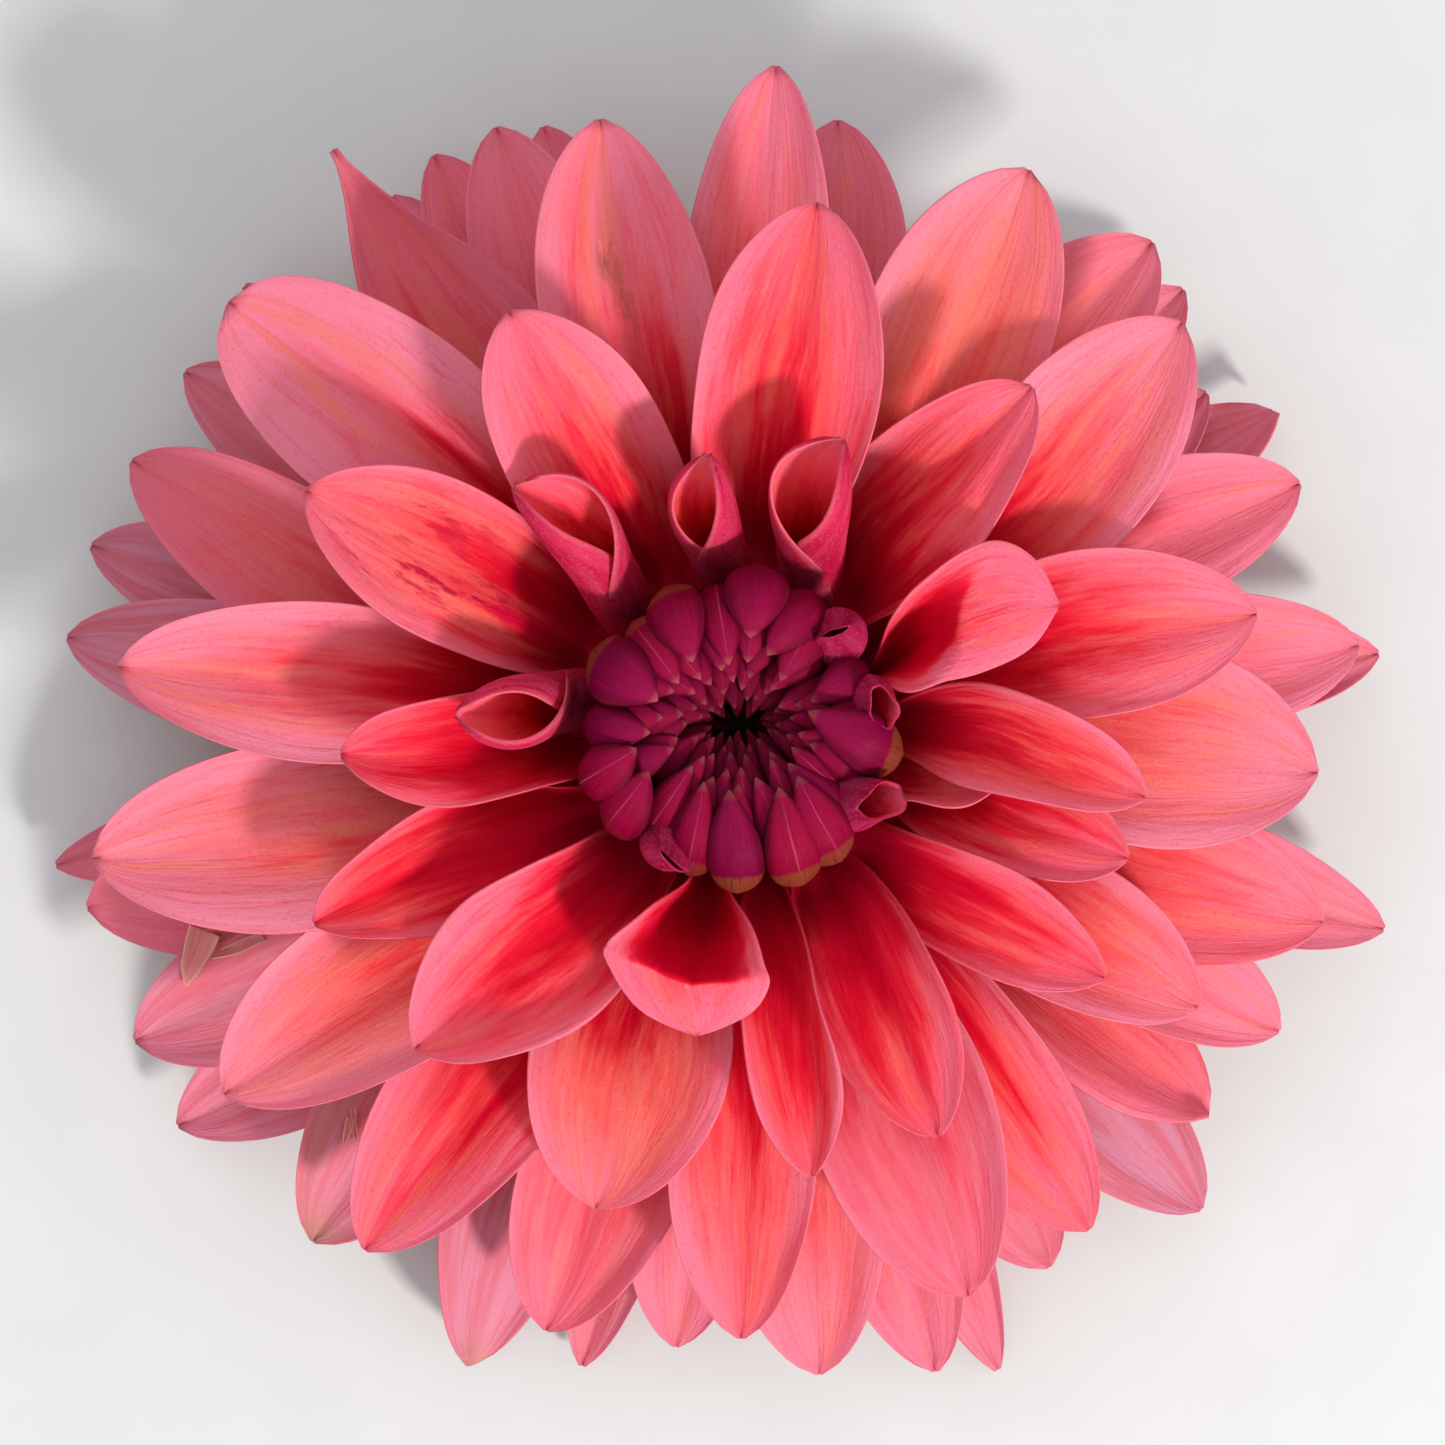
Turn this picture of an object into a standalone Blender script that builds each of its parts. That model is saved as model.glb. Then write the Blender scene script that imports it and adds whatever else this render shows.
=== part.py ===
"""A decorative dahlia bloom, cut close under its head and lying face up on a flat surface.

Lengths in the lists are in millimetres and angles in degrees. The stem is upright, petals
stand round it by azimuth (counterclockwise from +X), and the surface is at z = 0.
"""

import math
from types import SimpleNamespace

import bmesh
import bpy
import numpy as np

MM = 0.001
# Moves the stem off the origin, so that the bloom's box is centred on it.
STEM_X = 2.8
STEM_Y = 0.7

# The receptacle that the petals grow from, outside radius and height from top to bottom.
CORE_PROFILE = [
    (0, 33.0), (13.2, 33.0), (15.6, 30.5), (16.6, 25.0), (15.6, 18.5), (12.0, 13.5), (0, 13.5),
]
CORE_STEPS = 18
# The floor of the heart that the closed florets stand on, sunk in the middle.
HEART_PROFILE = [
    (0, 36.0), (3.0, 36.6), (6.0, 39.0), (9.5, 40.0), (12.4, 38.0), (12.9, 35.2), (12.2, 33.3), (0, 33.3),
]
HEART_STEPS = 16
BRACT_DISC_PROFILE = [(0, 13.2), (9.0, 13.2), (9.6, 12.6), (9.0, 12.0), (0, 12.0)]
STEM_PROFILE = [(0, 11.7), (8.2, 11.7), (8.0, 9.6), (5.4, 7.4), (3.9, 5.0), (3.7, 0.0), (0, 0.0)]
STEM_STEPS = 16
# Points of a profile that close to each other are one, in metres.
MERGE_DISTANCE = 0.00001

PETAL_THICKNESS = 0.7
# Smallest radius that a petal curls to, and the least half width and half angle it has.
TIGHTEST_CURL = 1.4
LEAST_HALF_WIDTH = 0.5
LEAST_CURL = 0.02
# How the blade widens out of its claw.
OPENING_POWER = 1.3
# Cells of a petal get shorter toward the tip by this power.
CELLS_TOWARD_TIP = 1.35
# Clear height kept between petals that lie over each other, and between the lowest and the surface.
PETAL_CLEARANCE = 1.0
FLOOR_CLEARANCE = 0.02
# The heart's underside, which the petals round it stay below.
HEART_RADIUS = 18.6
HEART_BASE_RADIUS = 13.0
HEART_UNDERSIDE_Z = 33.0
HEART_FLARE = 0.22
# Clear width kept round the core's flat underside, which the bracts stay below.
CORE_MARGIN = 1.0

# Cells of the height map on which the petals are laid under each other.
MAP_CELL = 0.7
MAP_HALF = 92.0
SETTLE_ALONG = 61
SETTLE_ACROSS = 31
SETTLE_ROUNDS = 3
# Width of the smooth hump that presses a petal down, as a share of its length and half width.
SPREAD_ALONG = 0.22
SPREAD_ACROSS = 0.9
# Share of its length over which a petal's root is held where it grows.
ROOT_HELD = 0.24
# Points across and along each petal that mark where it lies on the map, from just off its root.
MARKS_ALONG = 160
MARKS_ACROSS = 61
FIRST_MARK = 0.04
MARK_REACH = 0.4

# The drooping back petals.
UNDERLAYER_SEED = 7
UNDERLAYER_COUNT = 13
UNDERLAYER_JITTER = 4
UNDERLAYER_REACH = (58, 66)
UNDERLAYER_WIDTH = (18, 20)
# The bracts under the head: how many, reach, flat width and first azimuth.
PAPERY_BRACTS = (8, 19.5, 11, 12)
LEAFY_BRACTS = (6, 22, 7.5, 30)

CORAL = (0.84, 0.13, 0.16)
CRIMSON = (0.27, 0.012, 0.055)
STRAW = (0.55, 0.5, 0.27)
GREEN = (0.13, 0.22, 0.05)
PETAL_ROUGHNESS = 0.5
FLORET_ROUGHNESS = 0.45
PAPERY_ROUGHNESS = 0.7
GREEN_ROUGHNESS = 0.55
# Edges sharper than this are shaded as edges.
SHARP_ANGLE = 45

# What the petals of a whorl share. Root and tip are given by radius and height, rise and fall
# are the midrib's slopes there, arm is how far those slopes carry, sway turns the root round
# the stem, bow bends the midrib sideways and lean rolls the blade. The cup angles curl it,
# half on each side. Its outline is widest at wide_at, narrow by claw at the root and pointed
# by point at the tip. Cells are counted along and across it.

ROLLED = dict(
    root_r=13.2, root_z=29.8, tip_z=51, rise=32, fall=-54, arm=0.36, sway=0, bow=0, lean=-15,
    cup_root=95, cup_mid=155, cup_tip=50, cup_left=1, cup_right=1, wide_at=0.6, point=0.8,
    claw=0.3, cells=(5, 6),
)
SECOND = dict(
    root_r=13.2, root_z=28.4, tip_z=45, rise=56, fall=4, arm=0.38, sway=0, bow=0, lean=0,
    cup_root=78, cup_mid=36, cup_tip=24, cup_left=1, cup_right=1, wide_at=0.6, point=0.66,
    claw=0.25, cells=(5, 4),
)
THIRD = dict(SECOND, root_r=13.8, root_z=24.6, tip_z=33, rise=36, fall=9, cup_mid=30, cup_tip=20)
FOURTH = dict(
    SECOND, root_r=13.8, root_z=21.2, tip_z=16, rise=22, fall=20, cup_mid=30, cup_tip=22, cells=(4, 4),
)
FIFTH = dict(FOURTH, root_r=12.8, root_z=18.4, tip_z=7, rise=10, fall=20, cup_tip=26, cells=(4, 3))
UNDERLAYER = dict(FOURTH, root_r=11.0, root_z=16.0, tip_z=0.2, rise=-4, fall=12, cup_mid=22, cells=(4, 2))
PAPERY = dict(
    SECOND, root_r=8.0, root_z=12.5, tip_z=10, rise=-6, fall=12, cup_root=20, cup_mid=22, cup_tip=16,
    claw=0.6, cells=(3, 2),
)
LEAFY = dict(PAPERY, root_r=6.0, root_z=9.8, tip_z=5, rise=4, fall=30, claw=0.55, point=0.9, cells=(3, 2))

# In each list the petals run from the topmost down: azimuth, reach and flat width, then
# what sets the petal apart from the rest of its whorl.
ROLLED_PETALS = [
    (102, 29.7, 19.5, dict(sway=-6)),
    (70, 32.7, 21.5, dict(sway=-3, tip_z=52)),
    (134, 36.0, 20.5, dict(sway=-4, bow=-1, lean=-32, cup_mid=138, tip_z=50, fall=-42)),
    (176, 30.2, 16.5, dict(sway=-12, lean=18, tip_z=49)),
    (259, 32.7, 20.5, dict(
        bow=-0.5, cup_root=80, cup_mid=86, cup_tip=-10, rise=62, fall=40, lean=0, tip_z=45, wide_at=0.76,
        claw=0.2)),
    (23, 36.2, 21.0, dict(
        sway=10, bow=0.5, cup_root=90, cup_mid=92, cup_tip=48, rise=45, fall=-12, tip_z=49)),
]
SECOND_PETALS = [
    (351, 43.5, 13.0, dict(sway=9, bow=2.5, tip_z=47, cup_mid=44)),
    (350, 28.7, 9.5, dict(sway=-6, tip_z=40, cup_mid=60)),
    (82, 57.2, 21.5, dict(sway=2, tip_z=46)),
    (50, 48.1, 18.5, dict(bow=2, tip_z=47, cup_mid=44, cup_tip=34)),
    (119, 51.4, 20.0, dict(tip_z=46)),
    (151, 53.4, 18.5, dict(tip_z=45, bow=-1)),
    (183, 43.2, 14.0, dict(tip_z=43, cup_mid=46)),
    (224, 48.9, 20.0, dict(sway=9, bow=0.5, tip_z=43, cup_mid=42)),
    (279, 48.4, 13.0, dict(sway=2, tip_z=42, cup_mid=44)),
    (296, 48.4, 16.0, dict(sway=5, tip_z=42)),
    (326, 47.2, 13.0, dict(sway=-9, bow=-1, tip_z=42)),
    (204, 50.5, 15.0, dict(sway=8, bow=-1.5, tip_z=42)),
    (342, 44.1, 14.0, dict(sway=3, tip_z=39, root_z=27)),
]
THIRD_PETALS = [
    (103, 69.2, 20.5, dict(bow=3, tip_z=34)),
    (140, 73.6, 22.0, dict(sway=-4, bow=-1, tip_z=34, cup_tip=6)),
    (13, 57.7, 19.5, dict(sway=2, bow=2, tip_z=37, rise=42)),
    (43, 66.0, 21.5, dict(sway=-8, bow=-2, tip_z=35)),
    (63, 69.5, 23.0, dict(sway=-7, tip_z=34)),
    (356, 63.7, 24.5, dict(sway=8, bow=1, tip_z=33)),
    (329, 58.9, 17.5, dict(tip_z=32)),
    (174, 68.9, 18.5, dict(bow=-1, tip_z=34)),
    (191, 73.2, 22.5, dict(sway=6, bow=0.5, tip_z=31)),
    (215, 69.9, 21.0, dict(sway=7, bow=-2, tip_z=31)),
    (253, 54.7, 23.5, dict(sway=-8, tip_z=34, rise=42)),
    (270, 67.4, 17.5, dict(tip_z=29)),
    (292, 67.3, 22.0, dict(sway=2, tip_z=31)),
    (305, 68.0, 17.0, dict(tip_z=26)),
    (234, 71.5, 19.5, dict(sway=4, bow=-1.5, tip_z=27)),
    (87, 74.4, 17.0, dict(bow=1.5, tip_z=28)),
    (342, 68.6, 20.5, dict(bow=-1, tip_z=26)),
]
FOURTH_PETALS = [
    (125, 78.9, 18.0, dict(sway=3, bow=2, tip_z=24, cup_tip=70, fall=-10, wide_at=0.52, point=1.5)),
    (112, 74.8, 18.0, dict(bow=2)),
    (81, 70.7, 19.0, dict(bow=-3, tip_z=18)),
    (50, 72.7, 20.0, dict(bow=2, tip_z=20)),
    (24, 69.5, 18.0, dict(bow=2, tip_z=20)),
    (8, 71.9, 18.0, dict(tip_z=14)),
    (331, 70.6, 17.0, {}),
    (321, 68.7, 17.0, dict(tip_z=21)),
    (277, 74.5, 20.0, dict(bow=0.5, tip_z=14)),
    (287, 77.4, 17.0, dict(tip_z=12)),
    (252, 71.8, 20.0, dict(bow=0.7, tip_z=18)),
    (264, 71.5, 17.0, dict(tip_z=12)),
    (230, 76.6, 20.0, dict(bow=-3, tip_z=14)),
    (207, 78.3, 20.0, dict(bow=1.5, tip_z=14)),
    (195, 78.3, 20.0, dict(bow=2, tip_z=12)),
    (156, 76.1, 18.0, dict(sway=8, bow=2, tip_z=18)),
    (172, 79.0, 17.0, dict(bow=1, tip_z=10)),
]
FIFTH_PETALS = [
    (118, 75.9, 16.0, dict(tip_z=10)),
    (108, 74.5, 16.0, {}),
    (123, 75.1, 15.0, dict(tip_z=5)),
    (45, 73.1, 16.0, dict(tip_z=8)),
    (36, 67.5, 16.0, {}),
    (31, 73.1, 16.0, dict(tip_z=9)),
    (7, 74.9, 15.0, dict(tip_z=9)),
    (343, 78.2, 15.0, dict(tip_z=10)),
    (314, 77.1, 18.0, dict(tip_z=10)),
    (300, 72.3, 18.0, {}),
    (292, 81.4, 11.5, dict(tip_z=2)),
    (256, 77.1, 12.5, dict(tip_z=3)),
    (247, 80.4, 18.0, dict(bow=-4, tip_z=9)),
    (215, 80.5, 18.0, dict(bow=3, tip_z=6)),
    (191, 81.9, 12.5, dict(tip_z=5)),
    (164, 79.2, 17.0, dict(tip_z=6)),
    (147, 77.3, 17.0, dict(tip_z=8)),
    (138, 78.4, 13.5, dict(tip_z=5)),
]

# The florets at the heart's rim stand a little unevenly, as they opened.
RIM_AZIMUTHS = [0, 17, 43, 63, 84, 101, 120, 137, 155, 176, 196, 216, 234, 250, 268, 290, 311, 331]
# The rings of closed florets from the rim inward: azimuths, then the path from root to tip as
# radius and height, the width and the thickness.
FLORET_RINGS = [
    (RIM_AZIMUTHS, [(12.0, 35.2), (19.2, 36.4), (17.6, 46.0), (7.6, 46.8)], 5.9, 3.0),
    (range(11, 371, 24), [(10.0, 37.5), (14.6, 39.6), (12.6, 45.8), (4.8, 45.2)], 4.9, 2.5),
    (range(4, 364, 36), [(7.4, 38.4), (10.6, 40.4), (8.6, 44.2), (3.0, 43.2)], 4.5, 2.2),
    (range(20, 380, 45), [(5.0, 38.0), (7.0, 39.6), (5.6, 42.0), (2.4, 41.0)], 3.6, 1.9),
]
FLORET_SIDES = 6
FLORET_RINGS_ALONG = 5
# Share of its width that a floret has lost at the tip, before it rounds off.
FLORET_TAPER = 0.45

UP = np.array([0.0, 0.0, 1.0])


def unit(vectors):
    """The same rows of x, y, z at length 1."""
    return vectors / np.linalg.norm(vectors, axis=-1, keepdims=True)


def smooth(t):
    """0 to 1, level at both ends."""
    t = np.clip(t, 0, 1)
    return t * t * (3 - 2 * t)


def heading(azimuth):
    """The level direction at an azimuth in degrees."""
    return np.array([math.cos(math.radians(azimuth)), math.sin(math.radians(azimuth)), 0.0])


def cubic(ends, t):
    """A point of the curve through four control points, and its direction there."""
    start, first, last, end = ends
    back = 1 - t
    point = start * back**3 + first * 3 * t * back**2 + last * 3 * t**2 * back + end * t**3
    along = (first - start) * back**2 + (last - first) * 2 * t * back + (end - last) * t**2
    return point, unit(along)


def petals_of(whorl, rows):
    """One petal for each row of a list, on top of what its whorl shares."""
    return [
        SimpleNamespace(**{**whorl, "azimuth": azimuth, "reach": reach, "width": width, **own})
        for azimuth, reach, width, own in rows
    ]


def underlayer_rows():
    """The drooping back petals, evenly round with a little chance in place and size."""
    chance = np.random.default_rng(UNDERLAYER_SEED)
    rows = []
    for number in range(UNDERLAYER_COUNT):
        azimuth = 360 / UNDERLAYER_COUNT * number + chance.uniform(-UNDERLAYER_JITTER, UNDERLAYER_JITTER)
        rows.append((azimuth, chance.uniform(*UNDERLAYER_REACH), chance.uniform(*UNDERLAYER_WIDTH), {}))
    return rows


def bract_rows(count, reach, width, turn):
    """Like bracts, evenly round the stem."""
    return [(360 / count * number + turn, reach, width, {}) for number in range(count)]


def midrib(petal, u):
    """Points of the midrib from root (u = 0) to tip (u = 1), and its direction there."""
    root = heading(petal.azimuth + petal.sway) * petal.root_r + UP * petal.root_z
    tip = heading(petal.azimuth) * petal.reach + UP * petal.tip_z
    run = tip - root
    out = unit(np.array([run[0], run[1], 0.0]))
    side = np.cross(UP, out) * petal.bow
    arm = petal.arm * np.linalg.norm(run)
    rise = math.radians(petal.rise)
    fall = math.radians(petal.fall)
    start = heading(petal.azimuth + petal.sway) * math.cos(rise) + UP * math.sin(rise)
    end = out * math.cos(fall) - UP * math.sin(fall)
    first = root + start * arm + side
    last = tip - end * arm + side
    return cubic((root, first, last, tip), u[:, None])


def outline(petal, u):
    """Share of the petal's full width at u: a narrow claw, then a broad blade with a blunt point."""
    widening = np.sin(np.clip(u / petal.wide_at, 0, 1) * math.pi / 2) ** OPENING_POWER
    opening = petal.claw + (1 - petal.claw) * widening
    closing = np.clip((u - petal.wide_at) / (1 - petal.wide_at), 0, 1)
    return opening * (1 - closing**2) ** petal.point


def cup_at(petal, u):
    """Half the angle that the blade is curled through at u."""
    to_mid = petal.cup_root + (petal.cup_mid - petal.cup_root) * smooth(u / 0.5)
    to_tip = petal.cup_mid + (petal.cup_tip - petal.cup_mid) * smooth((u - 0.5) / 0.5)
    return np.radians(np.where(u < 0.5, to_mid, to_tip))


def blade(petal, u, v):
    """Points of the petal before it is laid down, for u along it and v from -1 to 1 across it."""
    points, along = midrib(petal, u)
    side = unit(np.cross(UP, along))
    above = np.cross(along, side)
    roll = np.radians(petal.lean) * smooth(u)[:, None]
    side, above = side * np.cos(roll) + above * np.sin(roll), above * np.cos(roll) - side * np.sin(roll)
    half = np.maximum(petal.width / 2 * outline(petal, u), LEAST_HALF_WIDTH)
    cup = cup_at(petal, u) * np.where(v > 0, petal.cup_left, petal.cup_right)
    tightest = half / TIGHTEST_CURL
    cup = np.clip(cup, -tightest, tightest)
    cup = np.where(np.abs(cup) < LEAST_CURL, LEAST_CURL, cup)
    bend = cup * np.abs(v)
    across = np.sign(v) * half * np.sin(bend) / cup
    lift = half * (1 - np.cos(bend)) / cup
    return points + side * across[:, None] + above * lift[:, None]


def dropped(petal, u, v):
    """How far the petal is pressed down at u, v, read from its settled grid."""
    rows = np.clip(u, 0, 1) * (SETTLE_ALONG - 1)
    columns = (np.clip(v, -1, 1) + 1) / 2 * (SETTLE_ACROSS - 1)
    row = np.minimum(rows.astype(int), SETTLE_ALONG - 2)
    column = np.minimum(columns.astype(int), SETTLE_ACROSS - 2)
    a = rows - row
    b = columns - column
    grid = petal.drop
    near = grid[row, column] * (1 - b) + grid[row, column + 1] * b
    far = grid[row + 1, column] * (1 - b) + grid[row + 1, column + 1] * b
    return near * (1 - a) + far * a


def surface(petal, u, v):
    """Points of the petal where it lies, in millimetres."""
    points = blade(petal, u, v)
    points[:, 2] -= dropped(petal, u, v)
    return points


def map_cells(points):
    """Row and column of the height map under each point."""
    cells = ((points[:, :2] + MAP_HALF) / MAP_CELL).astype(int)
    last = int(2 * MAP_HALF / MAP_CELL) - 1
    cells = np.clip(cells, 0, last)
    return cells[:, 0], cells[:, 1]


def map_radius():
    """Distance of every cell of the height map from the stem's axis."""
    size = int(2 * MAP_HALF / MAP_CELL)
    places = (np.arange(size) + 0.5) * MAP_CELL - MAP_HALF
    return np.hypot(places[:, None], places[None, :])


def empty_ceiling():
    """A height map with nothing over it except the heart's underside."""
    radius = map_radius()
    underside = HEART_UNDERSIDE_Z + HEART_FLARE * np.maximum(radius - HEART_BASE_RADIUS, 0) ** 2
    return np.where(radius < HEART_RADIUS, underside, np.inf)


def lower_over_core(ceiling):
    """Adds the core's flat underside to the ceiling, for the bracts that lie below it."""
    base_r, base_z = CORE_PROFILE[-2]
    over = map_radius() < base_r + CORE_MARGIN
    ceiling[over] = np.minimum(ceiling[over], base_z)


def spread_out(need):
    """The least smooth hump that is nowhere less than need."""
    u = np.linspace(0, 1, SETTLE_ALONG)
    v = np.linspace(-1, 1, SETTLE_ACROSS)
    along = np.exp(-(((u[:, None] - u[None, :]) / SPREAD_ALONG) ** 2))
    across = np.exp(-(((v[:, None] - v[None, :]) / SPREAD_ACROSS) ** 2))
    wide = (need[:, None, :] * across[None, :, :]).max(axis=2)
    return (wide[None, :, :] * along[:, :, None]).max(axis=1)


def settle(petal, ceiling):
    """Lays a petal under everything in the ceiling and over the surface, then adds it to the ceiling."""
    places = np.linspace(0, 1, SETTLE_ALONG), np.linspace(-1, 1, SETTLE_ACROSS)
    u, v = np.meshgrid(*places, indexing="ij")
    petal.drop = np.zeros(u.shape)
    points = blade(petal, u.ravel(), v.ravel())
    height = points[:, 2].reshape(u.shape)
    over = ceiling[map_cells(points)].reshape(u.shape)
    lowest = FLOOR_CLEARANCE + PETAL_THICKNESS / 2
    held = smooth(u / ROOT_HELD)
    for _ in range(SETTLE_ROUNDS):
        need = np.maximum(height - petal.drop + PETAL_CLEARANCE + PETAL_THICKNESS - over, 0)
        petal.drop += spread_out(need * held) * held
        petal.drop -= spread_out(np.maximum(lowest - height + petal.drop, 0))
    add_to_ceiling(petal, ceiling)


def add_to_ceiling(petal, ceiling):
    """Lowers the ceiling to the petal's underside wherever it lies."""
    places = np.linspace(FIRST_MARK, 1, MARKS_ALONG), np.linspace(-1, 1, MARKS_ACROSS)
    u, v = np.meshgrid(*places, indexing="ij")
    points = surface(petal, u.ravel(), v.ravel())
    for shift_x in (-MARK_REACH, MARK_REACH):
        for shift_y in (-MARK_REACH, MARK_REACH):
            nudged = points[:, :2] + np.array([shift_x, shift_y]) * MAP_CELL
            np.minimum.at(ceiling, map_cells(nudged), points[:, 2] - PETAL_THICKNESS / 2)


def settled_whorls():
    """All petals and bracts by whorl, laid from the topmost down."""
    whorls = {
        "petals": petals_of(ROLLED, ROLLED_PETALS)
        + petals_of(SECOND, SECOND_PETALS)
        + petals_of(THIRD, THIRD_PETALS)
        + petals_of(FOURTH, FOURTH_PETALS)
        + petals_of(FIFTH, FIFTH_PETALS)
        + petals_of(UNDERLAYER, underlayer_rows()),
        "papery": petals_of(PAPERY, bract_rows(*PAPERY_BRACTS)),
        "leafy": petals_of(LEAFY, bract_rows(*LEAFY_BRACTS)),
    }
    ceiling = empty_ceiling()
    for name, petals in whorls.items():
        if name == "papery":
            lower_over_core(ceiling)
        for petal in petals:
            settle(petal, ceiling)
    return whorls


def clear_scene():
    """Removes what the scene starts with."""
    for item in list(bpy.data.objects):
        bpy.data.objects.remove(item, do_unlink=True)


def material(name, colour, roughness):
    """A plain Principled material."""
    made = bpy.data.materials.new(name)
    made.use_nodes = True
    shader = made.node_tree.nodes["Principled BSDF"]
    shader.inputs["Base Color"].default_value = (*colour, 1)
    shader.inputs["Roughness"].default_value = roughness
    shader.inputs["Metallic"].default_value = 0
    return made


def new_collection(name):
    """A collection under the scene's own."""
    made = bpy.data.collections.new(name)
    bpy.context.scene.collection.children.link(made)
    return made


def add_object(name, mesh, collection):
    """An object with its origin on the surface, where the bloom's box is centred."""
    made = bpy.data.objects.new(name, mesh)
    collection.objects.link(made)
    return made


def baked(item):
    """The object's mesh with its modifiers applied, which are then removed."""
    bpy.context.view_layer.update()
    shaped = item.evaluated_get(bpy.context.evaluated_depsgraph_get())
    shaped = bpy.data.meshes.new_from_object(shaped)
    item.modifiers.clear()
    item.data = shaped
    return item


def split_into_triangles(mesh):
    """Leaves no bent quad, which a union would cut in two ways."""
    work = bmesh.new()
    work.from_mesh(mesh)
    bmesh.ops.triangulate(work, faces=work.faces[:])
    work.to_mesh(mesh)
    work.free()


def to_metres(points):
    """From millimetres round the stem to metres round the origin."""
    return (points + np.array([STEM_X, STEM_Y, 0.0])) * MM


def turned(name, profile, steps, collection):
    """A closed body turned round the stem from a profile that runs down its outer side."""
    mesh = bpy.data.meshes.new(name)
    outer = [(radius * MM, 0, height * MM) for radius, height in profile]
    mesh.from_pydata(outer, [(n, n + 1) for n in range(len(outer) - 1)], [])
    item = add_object(name, mesh, collection)
    screw = item.modifiers.new("Turn", "SCREW")
    screw.steps = steps
    screw.render_steps = steps
    screw.use_merge_vertices = True
    screw.merge_threshold = MERGE_DISTANCE
    baked(item)
    for vertex in item.data.vertices:
        vertex.co = to_metres(np.array(vertex.co) / MM)
    split_into_triangles(item.data)
    return item


def petal_body(name, petal, collection):
    """A petal as a thin solid: a gridded blade, split into triangles and thickened."""
    along, across = petal.cells
    grid = bmesh.new()
    bmesh.ops.create_grid(grid, x_segments=along, y_segments=across, size=0.5)
    flat = np.array([vertex.co[:2] for vertex in grid.verts])
    u = 1 - (0.5 - flat[:, 0]) ** CELLS_TOWARD_TIP
    points = to_metres(surface(petal, u, 2 * flat[:, 1]))
    for vertex, point in zip(grid.verts, points):
        vertex.co = point
    bmesh.ops.triangulate(grid, faces=grid.faces[:])
    mesh = bpy.data.meshes.new(name)
    grid.to_mesh(mesh)
    grid.free()
    item = add_object(name, mesh, collection)
    thick = item.modifiers.new("Thickness", "SOLIDIFY")
    thick.thickness = PETAL_THICKNESS * MM
    thick.offset = 0
    baked(item)
    split_into_triangles(item.data)
    return item


def floret_body(name, azimuth, path, width, thickness, collection):
    """A closed floret: a pointed bud that bends in over the heart from its root to its tip."""
    ball = bmesh.new()
    bmesh.ops.create_uvsphere(ball, u_segments=FLORET_SIDES, v_segments=FLORET_RINGS_ALONG, radius=1)
    out = heading(azimuth)
    side = np.cross(UP, out)
    ends = [out * radius + UP * height for radius, height in path]
    for vertex in ball.verts:
        t = (vertex.co.z + 1) / 2
        centre, along = cubic(ends, t)
        back = np.cross(side, along)
        taper = 1 - FLORET_TAPER * t
        across = side * vertex.co.x * width / 2 * taper
        through = back * vertex.co.y * thickness / 2
        vertex.co = to_metres(centre + across + through)
    bmesh.ops.triangulate(ball, faces=ball.faces[:])
    bmesh.ops.recalc_face_normals(ball, faces=ball.faces[:])
    mesh = bpy.data.meshes.new(name)
    ball.to_mesh(mesh)
    ball.free()
    return add_object(name, mesh, collection)


def keep_outer_body(item):
    """Drops loose scraps and fills sealed hollows, by keeping only the largest connected surface."""
    work = bmesh.new()
    work.from_mesh(item.data)
    bmesh.ops.triangulate(work, faces=work.faces[:])
    left = set(work.verts)
    groups = []
    while left:
        group = {left.pop()}
        edge_of_group = list(group)
        while edge_of_group:
            vertex = edge_of_group.pop()
            for edge in vertex.link_edges:
                other = edge.other_vert(vertex)
                if other in left:
                    left.discard(other)
                    group.add(other)
                    edge_of_group.append(other)
        groups.append(group)
    groups.sort(key=len)
    for group in groups[:-1]:
        bmesh.ops.delete(work, geom=list(group), context="VERTS")
    work.to_mesh(item.data)
    work.free()


def fuse(item, repeats):
    """Joins a body and a collection of repeats into one, and removes the repeats."""
    union = item.modifiers.new("Fuse", "BOOLEAN")
    union.operation = "UNION"
    union.operand_type = "COLLECTION"
    union.collection = repeats
    union.solver = "EXACT"
    baked(item)
    for repeat in list(repeats.objects):
        bpy.data.objects.remove(repeat, do_unlink=True)
    bpy.data.collections.remove(repeats)
    keep_outer_body(item)


def finish(item, look):
    """Gives a body its material and smooth shading."""
    item.data.materials.clear()
    item.data.materials.append(look)
    item.data.shade_smooth()
    item.data.set_sharp_from_angle(angle=math.radians(SHARP_ANGLE))


def petal_node(name, petals, profile, steps, bloom):
    """A turned body with petals or bracts fused to it."""
    body = turned(name, profile, steps, bloom)
    repeats = new_collection(name + "_repeats")
    for number, petal in enumerate(petals):
        petal_body(f"{name}_{number}", petal, repeats)
    fuse(body, repeats)
    return body


def heart_node(name, bloom):
    """The heart: rings of closed florets fused to a sunken dome."""
    body = turned(name, HEART_PROFILE, HEART_STEPS, bloom)
    repeats = new_collection(name + "_repeats")
    for ring, (azimuths, path, width, thickness) in enumerate(FLORET_RINGS):
        for number, azimuth in enumerate(azimuths):
            floret_body(f"floret_{ring}_{number}", azimuth, path, width, thickness, repeats)
    fuse(body, repeats)
    return body


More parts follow.
